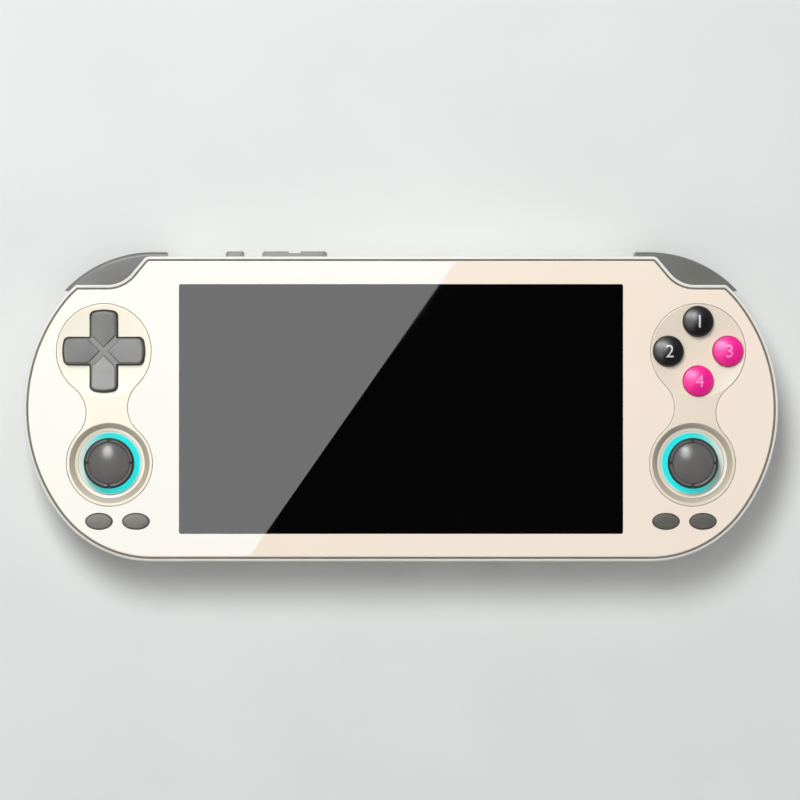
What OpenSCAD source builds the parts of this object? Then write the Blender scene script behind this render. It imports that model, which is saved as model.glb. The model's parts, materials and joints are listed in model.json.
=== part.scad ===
// Handheld game console: two shells, a full-face cover glass and its controls.
// The console lies on its back. X runs to the right, Y to the top edge, Z out of the screen.
// The origin lies on the back plane below the middle of the screen. All sizes are in mm.

/* [Housing] */
// Width of the housing
body_w = 188; // [186:0.5:192]
// Height of the housing, bottom edge to top edge
body_h = 76; // [75.5:0.25:78]
// Thickness from the back plane to the front of the glass
body_t = 15.4; // [15.2:0.1:16.4]
// Radius of the arc at each end
end_r = 44; // [43.5:0.25:46]
// Radius of the arc at each corner
corner_r = 29; // [28.5:0.25:30]
// Radius of the rounded back edge
back_r = 6; // [5:0.25:6]
// Wall thickness of both shells
wall = 1.6; // [1.4:0.05:1.7]
// Height of the seam between the two shells
seam_z = 8; // [7.9:0.05:8.1]
// Bevel on both sides of the seam
seam_bevel = 0.25; // [0.1:0.05:0.4]
// Width of the front rim around the glass
rim_w = 0.75; // [0.6:0.05:0.9]
// Radius of the outer edge of the front rim
rim_r = 0.5; // [0.3:0.05:0.55]
// How far the rim lies below the front of the glass
rim_drop = 0.2; // [0:0.05:0.4]
// Thickness of the front deck under the glass
deck_t = 1.4; // [1.2:0.05:1.5]

/* [Glass and screen] */
// Thickness of the cover glass
glass_t = 1; // [0.8:0.05:1.1]
// Groove between the rim and the glass
glass_gap = 0.4; // [0.3:0.05:0.5]
// Distance of the lit area from the control plates
screen_side = 6.7; // [6.5:0.1:8]
// Distance of the lit area from the top and bottom edges
screen_edge = 6.9; // [6.7:0.1:8]
// Border of the display panel around the lit area
panel_border = 1.7; // [1:0.1:1.8]
// Thickness of the display panel
panel_t = 2.3; // [2:0.1:2.4]
// Thickness of the tray behind the display panel
tray_t = 0.5; // [0.3:0.1:0.6]

/* [Control plates] */
// Distance of the upper control beyond the corner arc's centre
upper_out = 12; // [11.5:0.1:12.4]
// Distance of a plate's upper round below the floor of the shoulder notch
upper_edge = 4.5; // [4.3:0.1:5]
// Distance of a plate's upper round above the middle
upper_rise = 2.4; // [2:0.1:2.8]
// Distance of the stick beyond the corner arc's centre
lower_out = 10.6; // [10.2:0.1:11]
// Distance of a plate's lower round above the middle of the option buttons
lower_edge = 3.6; // [3.4:0.1:4]
// Distance of a plate's lower round below the middle
lower_drop = 2.6; // [2.2:0.1:3]
// Radius of the waist between the two rounds
waist_r = 7; // [6:0.25:8]
// Width of the ledge that carries a plate
plate_ledge = 1.1; // [0.9:0.05:1.2]
// Seam around a plate
plate_gap = 0.25; // [0.15:0.05:0.35]

/* [Directional pad] */
// Distance of the tips from the edge of the plate
pad_edge = 1.65; // [1.6:0.05:2]
// Width of one arm
pad_arm = 7; // [6.4:0.1:7.4]
// Radius of the tip corners
pad_tip_r = 1.8; // [1.2:0.1:2.4]
// How far the pad stands proud of its plate
pad_proud = 1.9; // [1.4:0.1:2.4]
// Bevel along the top edges
pad_bevel = 0.5; // [0.3:0.05:0.7]
// Width of the crossed grooves
pad_groove_w = 0.9; // [0.6:0.1:1.2]
// Depth of the crossed grooves
pad_groove_d = 0.35; // [0.2:0.05:0.45]
// Gap around the pad in its plate
pad_gap = 0.4; // [0.4:0.05:0.5]
// Radius of the pivot ball
pad_ball_r = 1.5; // [1.3:0.05:1.7]

/* [Face buttons] */
// Distance of the face buttons from the edge of the plate
button_edge = 0.78; // [0.7:0.02:1.2]
// Distance between neighbouring face buttons
button_apart = 2.9; // [2.6:0.1:3.4]
// Height of the dome of a face button
button_dome = 1.3; // [0.8:0.1:1.6]
// Straight side of a face button above its plate
button_side = 0.8; // [0.6:0.1:1.2]
// Gap around a face button
button_gap = 0.25; // [0.2:0.05:0.3]
// Stroke of a face button
button_stroke = 1; // [0.6:0.1:1.1]

/* [Option buttons] */
// Width of an option button
option_w = 6.8; // [6.2:0.1:7]
// Height of an option button
option_h = 4.2; // [3.8:0.1:4.4]
// Distance of each pair beyond the corner arc's centre
option_out = 8.6; // [8.3:0.1:8.9]
// Distance of the pairs above the bottom edge
option_rise = 10; // [9.8:0.1:10.2]
// Distance between the two buttons of a pair
option_pitch = 9.2; // [8.9:0.05:9.4]
// How far an option button stands proud of the glass
option_proud = 0.55; // [0.4:0.05:0.8]
// Gap around an option button
option_gap = 0.25; // [0.2:0.05:0.3]
// Stroke of an option button
option_stroke = 0.5; // [0.3:0.05:0.6]

/* [Sticks] */
// Distance of the mouth of a stick well from the edge of the plate
well_edge = 0.9; // [0.7:0.05:1.1]
// How much narrower the foot of a stick well is than its mouth
well_slope = 2.1; // [1.9:0.05:2.3]
// Inner radius of the light ring
ring_in_r = 5.4; // [5.2:0.05:5.6]
// Radius of a stick cap
cap_r = 6.15; // [5.9:0.05:6.3]
// Height of the underside of a cap above the glass
cap_lift = 0.9; // [0.8:0.05:1.2]
// Thickness of the rim of a cap
cap_rim_t = 1.2; // [1:0.05:1.5]
// Height of the dome of a cap above its rim
cap_dome = 1.2; // [0.8:0.05:1.5]
// Outer radius of the ball skirt under a cap
skirt_r = 4.7; // [4.5:0.05:4.8]
// Side of the square stick housing
socket_w = 15; // [14.4:0.1:15.4]
// Radius of the round hole in the stick housing
socket_r = 5.6; // [5.4:0.05:5.8]
// Radius of the outer gimbal pins
gimbal_pin_r = 0.7; // [0.6:0.02:0.74]
// Radius of the lever's cross pin
lever_pin_r = 0.6; // [0.5:0.02:0.65]
// Radius of the lever
lever_r = 1.5; // [1.2:0.05:1.6]

/* [Shoulders] */
// Depth of the shoulder notch below the top edge
notch_d = 7.1; // [6.8:0.1:7.3]
// Distance of the end of the notch floor from the corner arc's centre
notch_x = 11.2; // [10.8:0.1:11.6]
// Radius at the foot of the notch slope
notch_foot_r = 8; // [7.5:0.1:8.5]
// Radius at the head of the notch slope
notch_head_r = 2; // [1.8:0.1:2.4]
// Angle of the notch slope
notch_a = 50; // [48:0.5:52]
// How far the shoulder buttons stand proud of the outline
shoulder_proud = 1.2; // [0.8:0.1:1.5]
// Depth of the shoulder buttons behind the outline
shoulder_d = 6.4; // [6.2:0.1:6.6]
// Distance of their outer ends below the top edge
shoulder_end = 8.4; // [8.2:0.1:8.6]
// Distance of their inner ends from the corner arc's centre
shoulder_in = 3.4; // [3.3:0.05:3.5]
// Height of the lower edge of the trigger
trigger_z = 2.5; // [2.4:0.05:2.8]
// Gap between trigger and bumper and above the bumper
shoulder_gap = 0.35; // [0.3:0.05:0.4]
// Room left for the stroke beyond the outer ends
shoulder_room = 1.4; // [1.4:0.05:1.6]
// Radius of the hinge pins
pin_r = 0.75; // [0.65:0.02:0.8]

/* [Edge keys] */
// Position of the power key left of the middle
power_x = 41.5; // [40:0.1:43]
// Width of the power key
power_w = 4.7; // [4.2:0.1:5.2]
// Position of the volume rocker left of the middle
volume_x = 26.6; // [26:0.1:27]
// Width of the volume rocker
volume_w = 16.2; // [15.4:0.1:16.8]
// Thickness of the edge keys
key_t = 2.8; // [2.4:0.1:3]
// How far the edge keys stand proud of the top edge
key_proud = 1.4; // [1.1:0.05:1.6]
// Gap around the edge keys
key_gap = 0.3; // [0.25:0.05:0.35]

/* [Interior] */
// Thickness of the circuit board
board_t = 1.2; // [1:0.05:1.2]
// Distance of the board from the outline
board_in = 3.2; // [3.1:0.05:3.3]
// Width of the battery
battery_w = 92; // [80:1:96]
// Height of the battery
battery_h = 44; // [36:1:45]
// Thickness of the battery
battery_t = 5.4; // [5:0.1:5.4]
// Thickness of the battery tape
tape_t = 0.2; // [0.1:0.05:0.2]
// Distance of the battery from the bottom edge
battery_rise = 18; // [16.5:0.5:19]
// Gap between the battery and the board
battery_gap = 0.4; // [0.4:0.05:0.6]
// Thickness of the button membranes
membrane_t = 0.6; // [0.5:0.05:0.7]
// Radius of the headphone bore
jack_r = 1.8; // [1.75:0.01:1.85]
// Depth of the headphone bore
jack_d = 11; // [10:0.5:12]
// Distance of the headphone socket from the middle of the right speaker
jack_in = 22; // [20:0.5:24]
// Distance of the card socket from the middle of the left speaker
card_in = 22; // [20:0.5:24]
// Distance of the speakers inside the corner arc's centre
speaker_in = 16; // [15.5:0.5:17.5]
// Length of a speaker
speaker_w = 19; // [17:0.5:19.5]
// Depth of a speaker
speaker_h = 8; // [7.6:0.1:8.2]
// Thickness of a speaker
speaker_t = 4.2; // [3.8:0.1:4.4]
// Distance between the speaker slots
slot_pitch = 2.6; // [2.4:0.1:2.8]
// Width of a speaker slot
slot_w = 1.2; // [0.9:0.1:1.4]
// Length of a speaker slot
slot_h = 3.4; // [3:0.1:3.6]
// Width of the mouth of the charging socket
usb_w = 8.3; // [8.2:0.05:8.5]
// Height of the mouth of the charging socket
usb_h = 2.5; // [2.4:0.05:2.6]
// Width of the chip shield
chip_w = 28; // [24:0.5:32]
// Height of the chip shield
chip_h = 24; // [20:0.5:28]
// Thickness of the chip shield
shield_t = 1.5; // [1.2:0.05:1.5]
// Width of the heat spreader
spreader_w = 70; // [60:1:80]
// Height of the heat spreader
spreader_h = 40; // [34:1:42]
// Thickness of the heat spreader
spreader_t = 0.5; // [0.3:0.05:0.5]
// Width of the display ribbon
ribbon_w = 14; // [10:0.5:18]
// Thickness of the display ribbon
ribbon_t = 0.3; // [0.2:0.05:0.4]
// Depth of the ribbon's plug
plug_h = 3; // [2.6:0.1:3.4]
// Thickness of the ribbon's plug
plug_t = 1.2; // [1:0.05:1.4]
// Width of the antenna
antenna_w = 7; // [5:0.5:7]
// Length of the antenna
antenna_h = 26; // [20:0.5:28]
// Radius of the vibration motor
motor_r = 5; // [4:0.1:5.2]
// Thickness of the vibration motor
motor_t = 3; // [2.5:0.1:3.4]
// Radius of the screw shanks
screw_r = 0.85; // [0.75:0.02:0.95]
// Radius of the screw heads
screw_head_r = 1.8; // [1.6:0.05:1.9]

/* [Fits] */
// Clearance of a turning pin in its hole
turn_gap = 0.05; // [0.03:0.01:0.08]
// Clearance of a fixed pin or screw in its hole
seat_gap = 0.02; // [0.01:0.01:0.04]
// Clearance of a part that is laid into an opening
lay_gap = 0.1; // [0.05:0.01:0.15]

/* [Hidden] */
$fn = 64;
eps = 0.01;
over = 1;
half_w = body_w / 2;
half_h = body_h / 2;
corner_y = half_h - corner_r;
end_x = half_w - end_r;
arc_step = end_r - corner_r;
// The corner arc's centre lies on a grid of a thousandth, so that all sectors meet
corner_x = round(1000 * (end_x + sqrt(arc_step * arc_step - corner_y * corner_y))) / 1000;
corner_dx = corner_x - end_x;
ray_len = sqrt(corner_dx * corner_dx + corner_y * corner_y);
ray_x = corner_dx / ray_len;
ray_y = corner_y / ray_len;

glass_z = body_t - glass_t;
deck_z = glass_z - deck_t;
rim_z = body_t - rim_drop;
board_z = wall + tape_t + battery_t + battery_gap;
board_top = board_z + board_t;
panel_z = glass_z - panel_t;
tray_z = panel_z - tray_t;

upper_r = (half_h - notch_d - upper_edge - upper_rise) / 2;
upper_x = corner_x + upper_out;
upper_y = upper_rise + upper_r;
option_x = corner_x + option_out;
option_y = half_h - option_rise;
lower_r = (option_y - lower_edge - lower_drop) / 2;
lower_x = corner_x + lower_out;
lower_y = lower_drop + lower_r;
well_r = lower_r - well_edge;
well_foot_r = well_r - well_slope;
pad_span = 2 * (upper_r - pad_edge);
button_ring = (upper_r - button_edge + button_apart / 2) / (1 + sqrt(2) / 2);
button_r = (button_ring * sqrt(2) - button_apart) / 2;
screen_w = 2 * (upper_x - upper_r - screen_side);
screen_h = body_h - 2 * screen_edge;
panel_w = screen_w + 2 * panel_border;
panel_h = screen_h + 2 * panel_border;
ledge_in = plate_ledge + lay_gap;

pad_ball_z = deck_z - 1.4;
pad_foot_z = deck_z - 1.8;
pad_flange_z = deck_z - 0.95;
pad_top = body_t + pad_proud;
pad_lip = 0.6;

flange_t = 0.9;
flange_w = 0.85;
flange_top = deck_z - turn_gap;

pivot_z = board_top + 2.2;
socket_top = deck_z - 0.9;
cap_z = body_t + cap_lift - pivot_z;
skirt_z = 2.4;
skirt_t = 0.6;
neck_r = 2.8;
gimbal_r = 3.6;
gimbal_in_r = 2.4;
gimbal_t = 1.6;

notch_y = half_h - notch_d;
notch_cx = corner_x + notch_x;
notch_px = sin(notch_a) * notch_cx + cos(notch_a) * (notch_y + notch_foot_r) - notch_foot_r;
head_cx = (notch_px - notch_head_r - cos(notch_a) * (half_h - notch_head_r)) / sin(notch_a);
shoulder_y = half_h - shoulder_end;
shoulder_x = corner_x - shoulder_in;
pin_x = shoulder_x + 2;
pin_y = half_h - 3.4;
bumper_z = seam_z + shoulder_gap / 2;
bumper_top = deck_z - shoulder_gap;
trigger_top = seam_z - shoulder_gap / 2;
pocket_y = shoulder_y - shoulder_room;
pocket_x = shoulder_x - shoulder_gap;
pocket_z = trigger_z - shoulder_gap;

key_z = (board_top + panel_z) / 2 + 0.15;
key_y = half_h + key_proud;
key_flange_y = half_h - wall - key_gap;
rocker_pin_y = half_h - 3;
rocker_pin_r = 0.6;

port_y = -half_h;
usb_t = 0.3;
usb_z = board_z - usb_h / 2 - usb_t;
jack_h = 5;
jack_w = 6.4;
jack_z = board_z - jack_h / 2;
card_t = 1.8;
card_z = board_z - card_t / 2;
battery_y = battery_rise + battery_h / 2 - half_h;
slot_z = 5.2;
speaker_x = corner_x - speaker_in;
speaker_y = back_r - half_h + 4.2;
jack_x = speaker_x - jack_in;
card_x = speaker_x - card_in;

boss_r = 2.2;
foot_r = 2.9;
head_seat = wall + 1.4;
case_screw_at = [[half_w - 9, 0], [corner_x - 1.8, half_h - 14], [corner_x - 2.4, 8.5 - half_h]];
board_screw_at = [corner_x + 0.6, 0];
hull_cut = notch_y - 4.4;

shell_col = [0.85, 0.84, 0.81];
cream_col = [0.95, 0.91, 0.84];
grey_col = [0.55, 0.55, 0.53];
dark_col = [0.2, 0.2, 0.21];
steel_col = [0.72, 0.73, 0.75];
board_col = [0.08, 0.3, 0.2];

// Points along an arc
function arc(cx, cy, r, a0, a1, n) =
  [for (i = [0 : n]) let (a = a0 + (a1 - a0) * i / n) [cx + r * cos(a), cy + r * sin(a)]];

// Points of a rectangle with round corners
function round_rect(w, h, r, n = 8) = concat(
  arc(w / 2 - r, h / 2 - r, r, 0, 90, n),
  arc(r - w / 2, h / 2 - r, r, 90, 180, n),
  arc(r - w / 2, r - h / 2, r, 180, 270, n),
  arc(w / 2 - r, r - h / 2, r, 270, 360, n));

// Points of an ellipse
function ellipse(w, h, n = 48) =
  [for (i = [0 : n - 1]) [w / 2 * cos(360 * i / n), h / 2 * sin(360 * i / n)]];

// Points lifted to a height
function lifted(points, z) = [for (p = points) [p[0], p[1], z]];

// Outline of a right control plate: two rounds with a waist, grown by d
plate_a = [upper_x, upper_y];
plate_b = [lower_x, -lower_y];
plate_ab = plate_b - plate_a;
plate_len = norm(plate_ab);
plate_u = plate_ab / plate_len;
plate_n = [-plate_u[1], plate_u[0]];
waist_d = (pow(upper_r + waist_r, 2) - pow(lower_r + waist_r, 2) + plate_len * plate_len)
  / (2 * plate_len);
waist_h = sqrt(pow(upper_r + waist_r, 2) - waist_d * waist_d);
waist_out = plate_a + waist_d * plate_u + waist_h * plate_n;
waist_in = plate_a + waist_d * plate_u - waist_h * plate_n;
function bearing(p, q) = atan2(q[1] - p[1], q[0] - p[0]);
function plate_outline(d) = concat(
  arc(plate_a[0], plate_a[1], upper_r + d,
    bearing(plate_a, waist_out), bearing(plate_a, waist_in) + 360, 48),
  arc(waist_in[0], waist_in[1], waist_r - d,
    bearing(waist_in, plate_a), bearing(waist_in, plate_b), 14),
  arc(plate_b[0], plate_b[1], lower_r + d,
    bearing(plate_b, waist_in), bearing(plate_b, waist_out) + 360, 44),
  arc(waist_out[0], waist_out[1], waist_r - d,
    bearing(waist_out, plate_b) + 360, bearing(waist_out, plate_a), 14));

// Outline of the right shoulder notch, grown by d
function notch_outline(d) = concat(
  [[half_w + 9, half_h + 9], [half_w + 9, notch_y - d]],
  arc(notch_cx, notch_y + notch_foot_r, notch_foot_r + d, 270, 270 - notch_a, 12),
  arc(head_cx, half_h - notch_head_r, notch_head_r - d, 90 - notch_a, 90, 8),
  [[head_cx, half_h + 9]]);

module on_side(s) {
  mirror([s < 0 ? 1 : 0, 0, 0]) children();
}

module both_sides() {
  for (s = [-1, 1]) on_side(s) children();
}

module slab(z0, z1) {
  translate([0, 0, z0]) linear_extrude(z1 - z0) children();
}

module loft(rings) {
  n = len(rings[0]);
  m = len(rings);
  polyhedron(
    points = [for (r = rings) each r],
    faces = concat(
      [[for (i = [0 : n - 1]) i]],
      [for (k = [0 : m - 2], i = [0 : n - 1])
        [k * n + i, (k + 1) * n + i, (k + 1) * n + (i + 1) % n, k * n + (i + 1) % n]],
      [[for (i = [n - 1 : -1 : 0]) (m - 1) * n + i]]));
}

// One edge profile, given as [inset, height], carried around the whole outline
module swept(edge) {
  z0 = edge[0][1];
  z1 = edge[len(edge) - 1][1];
  far = 1.5 * end_r;
  seam_far = [corner_x + far * ray_x, corner_y + far * ray_y];
  for (s = [0, 1]) mirror([s, 0, 0]) {
    intersection() {
      translate([end_x, 0, 0]) rotate_extrude()
        polygon(concat([[0, z0]], [for (p = edge) [end_r - p[0], p[1]]], [[0, z1]]));
      slab(z0 - over, z1 + over) polygon([[end_x, 0], [corner_x, -corner_y],
        [seam_far[0], -seam_far[1]], [half_w + far, -seam_far[1]],
        [half_w + far, seam_far[1]], seam_far, [corner_x, corner_y]]);
    }
    for (t = [0, 1]) mirror([0, t, 0]) intersection() {
      translate([corner_x, corner_y, 0]) rotate_extrude()
        polygon(concat([[0, z0]], [for (p = edge) [corner_r - p[0], p[1]]], [[0, z1]]));
      slab(z0 - over, z1 + over) polygon([[corner_x, corner_y], seam_far,
        [seam_far[0], corner_y + far], [corner_x, corner_y + far]]);
    }
  }
  for (t = [0, 1]) mirror([0, t, 0]) translate([-corner_x, 0, 0]) rotate([90, 0, 90])
    linear_extrude(2 * corner_x)
      polygon(concat([[corner_y, z0]], [for (p = edge) [half_h - p[0], p[1]]], [[corner_y, z1]]));
  slab(z0, z1) polygon([[corner_x, corner_y], [end_x, 0], [corner_x, -corner_y],
    [-corner_x, -corner_y], [-end_x, 0], [-corner_x, corner_y]]);
}

module straight_ring(inset, z0, z1) {
  swept([[inset, z0], [inset, z1]]);
}

module notches(d, z0, z1) {
  both_sides() slab(z0, z1) polygon(notch_outline(d));
}

module pockets(z0, z1) {
  both_sides() translate([pocket_x, pocket_y, z0])
    cube([half_w, half_h, z1 - z0]);
}

// A round-ended bar pushed out along Y, ending at y
module edge_bar(w, h, y, depth) {
  translate([0, y, 0]) rotate([90, 0, 0]) linear_extrude(depth)
    polygon(round_rect(w, h, h / 2 - eps));
}

module at_case_screws() {
  for (p = case_screw_at) both_sides() translate([p[0], p[1], 0]) children();
}

module at_board_screws() {
  both_sides() translate([board_screw_at[0], board_screw_at[1], 0]) children();
}

module at_buttons() {
  for (i = [0 : 3]) translate([upper_x, upper_y, 0]) rotate(90 * i)
    translate([button_ring, 0, 0]) children();
}

module at_options() {
  for (k = [-1, 1]) both_sides()
    translate([option_x + k * option_pitch / 2, -option_y, 0]) children();
}

module front_shell() {
  color(shell_col) difference() {
    union() {
      difference() {
        swept(concat([[seam_bevel, seam_z], [0, seam_z + seam_bevel]],
          arc(rim_r, rim_z - rim_r, rim_r, 180, 90, 4)));
        difference() {
          straight_ring(rim_w, glass_z, body_t + over);
          notches(rim_w, glass_z - over, body_t + 2 * over);
        }
        straight_ring(wall, seam_z - over, deck_z);
        pockets(seam_z - over, deck_z);
      }
      at_case_screws() slab(board_top, deck_z + eps) circle(boss_r);
      at_board_screws() slab(board_top, deck_z + eps) circle(boss_r);
    }
    notches(0, deck_z - over, body_t + 2 * over);
    slab(deck_z - over, glass_z + over)
      square([panel_w + 6 * lay_gap, panel_h + 6 * lay_gap], center = true);
    both_sides() slab(deck_z - over, glass_z + over) polygon(plate_outline(-plate_ledge));
    at_buttons() slab(deck_z - over, glass_z + over) circle(button_r + button_gap);
    at_options() slab(deck_z - over, glass_z + over)
      polygon(ellipse(option_w + 2 * option_gap, option_h + 2 * option_gap));
    at_case_screws() slab(board_top - over, deck_z - 0.6) circle(screw_r + seat_gap);
    at_board_screws() slab(board_top - over, deck_z - 0.6) circle(screw_r + seat_gap);
    both_sides() translate([pin_x, pin_y, 0]) slab(deck_z - over, deck_z + 0.6)
      circle(pin_r + seat_gap);
    translate([-volume_x, rocker_pin_y, 0]) slab(deck_z - over, deck_z + 0.6)
      circle(rocker_pin_r + seat_gap);
    translate([-power_x, 0, key_z])
      edge_bar(power_w + 2 * key_gap, key_t + 2 * key_gap, half_h + over, wall + 2 * over);
    translate([-volume_x, 0, key_z])
      edge_bar(volume_w + 2 * key_gap, key_t + 2 * key_gap, half_h + over, wall + 2 * over);
  }
}

module rear_shell() {
  color(shell_col) difference() {
    union() {
      difference() {
        swept(concat(arc(back_r, back_r, back_r, 270, 180, 10),
          [[0, seam_z - seam_bevel], [seam_bevel, seam_z]]));
        swept(concat(arc(back_r, back_r, back_r - wall, 270, 180, 8), [[wall, seam_z + over]]));
        pockets(pocket_z, seam_z + over);
      }
      at_case_screws() slab(wall - eps, board_z) circle(foot_r);
      at_board_screws() slab(wall - eps, board_z) circle(boss_r);
      both_sides() translate([pin_x, pin_y, 0]) slab(wall - eps, pocket_z) circle(2 * pin_r);
      both_sides() translate([corner_x + 7, hull_cut - 0.5, wall - eps])
        translate([-5, -0.6, 0]) cube([10, 1.2, 5]);
    }
    at_case_screws() {
      slab(-over, board_z + over) circle(screw_r + 0.25);
      slab(-over, head_seat) circle(screw_head_r + 0.2);
    }
    at_board_screws() slab(head_seat, board_z + over) circle(screw_r + seat_gap);
    both_sides() translate([pin_x, pin_y, 0]) slab(wall - 0.6, pocket_z + over)
      circle(pin_r + seat_gap);
    translate([0, 0, usb_z]) edge_bar(usb_w + 2 * usb_t + 0.6, usb_h + 2 * usb_t + 0.4,
      port_y + wall + 2 * over, wall + 4 * over);
    translate([jack_x, 0, jack_z]) rotate([90, 0, 0]) translate([0, 0, half_h - wall - 2 * over])
      cylinder(h = wall + 4 * over, r = jack_r + 0.8);
    translate([-card_x, 0, card_z]) edge_bar(12.4, 1.6, port_y + wall + 2 * over, wall + 4 * over);
    both_sides() for (i = [-3 : 3]) translate([speaker_x + slot_pitch * i, 0, slot_z])
      translate([-slot_w / 2, -half_h - over, -slot_h / 2])
        cube([slot_w, wall + 4 * over, slot_h]);
    for (i = [-6 : 6]) translate([4 * i, half_h - 9, -over])
      linear_extrude(wall + 2 * over) polygon(round_rect(1.6, 5, 0.75, 3));
    both_sides() for (i = [-4 : 4]) translate([upper_x - 2, 3.6 * i, -over])
      linear_extrude(over + 0.35) polygon(round_rect(20 - 0.5 * i * i, 1.4, 0.65, 3));
    translate([0, -15, -over]) linear_extrude(over + 0.25) polygon(round_rect(48, 20, 2.5, 6));
  }
}

module cover_glass() {
  color([0.93, 0.9, 0.85]) difference() {
    straight_ring(rim_w + glass_gap, glass_z, body_t);
    notches(rim_w + glass_gap, glass_z - over, body_t + over);
    both_sides() slab(glass_z - over, body_t + over) polygon(plate_outline(plate_gap));
    at_options() slab(glass_z - over, body_t + over)
      polygon(ellipse(option_w + 2 * option_gap, option_h + 2 * option_gap));
  }
}

// Rounded rectangle of one arm of the pad, grown by d
function pad_bar(d) = round_rect(pad_span + 2 * d, pad_arm + 2 * d, pad_tip_r + d);

module pad_cross(d) {
  polygon(pad_bar(d));
  rotate(90) polygon(pad_bar(d));
}

module plate_blank() {
  slab(glass_z, body_t) polygon(plate_outline(0));
  slab(deck_z, glass_z + eps) polygon(plate_outline(-ledge_in));
}

module stick_well() {
  translate([lower_x, -lower_y, deck_z]) {
    cylinder(h = body_t - deck_z, r1 = well_foot_r, r2 = well_r);
    translate([0, 0, -over]) cylinder(h = over + eps, r = well_foot_r);
    translate([0, 0, body_t - deck_z - eps]) cylinder(h = over, r = well_r);
  }
}

module left_control_plate() {
  color(cream_col) on_side(-1) difference() {
    plate_blank();
    stick_well();
    translate([upper_x, upper_y, 0]) slab(deck_z - over, body_t + over) pad_cross(pad_gap);
  }
}

module right_control_plate() {
  color(cream_col) difference() {
    plate_blank();
    stick_well();
    at_buttons() slab(deck_z - over, body_t + over) circle(button_r + button_gap);
  }
}

module display_panel() {
  color([0.03, 0.03, 0.04]) slab(panel_z, glass_z) square([panel_w, panel_h], center = true);
}

module display_tray() {
  color(steel_col) slab(tray_z, panel_z) square([panel_w - 2, panel_h - 2], center = true);
}

module display_ribbon() {
  color([0.75, 0.5, 0.15]) translate([-ribbon_w / 2, -panel_h / 2 + 6, 0]) {
    translate([-1, 0, board_top]) cube([ribbon_w + 2, plug_h, plug_t]);
    translate([0, (plug_h - ribbon_t) / 2, board_top + plug_t - 0.2])
      cube([ribbon_w, ribbon_t, tray_z - board_top - plug_t + 0.2]);
  }
}

module main_board() {
  color(board_col) difference() {
    straight_ring(board_in, board_z, board_top);
    both_sides() translate([corner_x - 5, hull_cut, board_z - over])
      cube([half_w, half_h, board_t + 2 * over]);
    at_case_screws() slab(board_z - over, board_top + over) circle(screw_r + 0.25);
    at_board_screws() slab(board_z - over, board_top + over) circle(screw_r + 0.25);
  }
}

module chip_shield() {
  color(steel_col) translate([6, 5, 0]) slab(board_top, board_top + shield_t)
    polygon(round_rect(chip_w, chip_h, 1));
}

module heat_spreader() {
  color([0.8, 0.8, 0.82]) translate([0, 3, 0])
    slab(board_top + shield_t, board_top + shield_t + spreader_t)
      polygon(round_rect(spreader_w, spreader_h, 3));
}

module battery() {
  color([0.25, 0.26, 0.28]) translate([0, battery_y, 0])
    slab(wall + tape_t, wall + tape_t + battery_t) polygon(round_rect(battery_w, battery_h, 1.5));
}

module battery_tape() {
  color([0.9, 0.9, 0.88]) translate([0, battery_y, 0]) slab(wall, wall + tape_t)
    square([battery_w - 8, battery_h - 8], center = true);
}

module speaker() {
  difference() {
    translate([speaker_x, speaker_y, 0]) slab(wall, wall + speaker_t)
      polygon(round_rect(speaker_w, speaker_h, 1.2, 4));
    translate([speaker_x, speaker_y, 0]) slab(wall + speaker_t - 0.6, wall + speaker_t + over)
      polygon(round_rect(speaker_w - 4, speaker_h - 3, 2.2, 6));
  }
}

module left_speaker() {
  color(dark_col) on_side(-1) speaker();
}

module right_speaker() {
  color(dark_col) speaker();
}

module usb_socket() {
  color(steel_col) translate([0, 0, usb_z]) {
    difference() {
      edge_bar(usb_w + 2 * usb_t, usb_h + 2 * usb_t, port_y + 8, 7.6);
      edge_bar(usb_w, usb_h, port_y + 7, 8);
    }
    edge_bar(6.7, 0.7, port_y + 7.5, 5.4);
  }
}

module headphone_socket() {
  color(dark_col) difference() {
    union() {
      translate([jack_x - jack_w / 2, port_y + wall + 2, jack_z - jack_h / 2])
        cube([jack_w, jack_d - 0.2, jack_h]);
      translate([jack_x, port_y + wall + 2.4, jack_z]) rotate([90, 0, 0])
        cylinder(h = 2.9, r = jack_r + 0.55);
    }
    translate([jack_x, port_y + jack_d + 1.1, jack_z]) rotate([90, 0, 0])
      cylinder(h = jack_d + 2, r = jack_r);
  }
}

module card_socket() {
  color(steel_col) translate([-card_x, port_y + wall + 0.3, 0]) difference() {
    translate([-7, 0, board_z - card_t]) cube([14, 13.6, card_t]);
    translate([-5.6, -over, card_z - 0.5]) cube([11.2, 13 + over, 1]);
  }
}

module vibration_motor() {
  color(steel_col) translate([upper_x, 9, board_z - motor_t]) {
    cylinder(h = motor_t, r = motor_r);
    translate([0, 0, -0.4]) cylinder(h = 0.5, r = motor_r - 1.4);
  }
}

module antenna() {
  color([0.8, 0.6, 0.25]) translate([17 - half_w, -2, 0]) slab(wall, wall + 0.2)
    polygon(round_rect(antenna_w, antenna_h, 1, 4));
}

module edge_switch(x) {
  translate([-x, half_h - 4.4, 0]) {
    translate([-2.3, -2.9, board_top]) cube([4.6, 2.9, 2]);
    translate([-1.1, -0.1, board_top + 0.5]) cube([2.2, 0.9, 1]);
  }
}

module edge_switches() {
  color(steel_col) {
    edge_switch(power_x);
    edge_switch(volume_x - 5.6);
    edge_switch(volume_x + 5.6);
  }
}

module volume_pin() {
  color(steel_col) translate([-volume_x, rocker_pin_y, 0])
    slab(board_top + 0.2, deck_z + 0.5) circle(rocker_pin_r);
}

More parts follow.
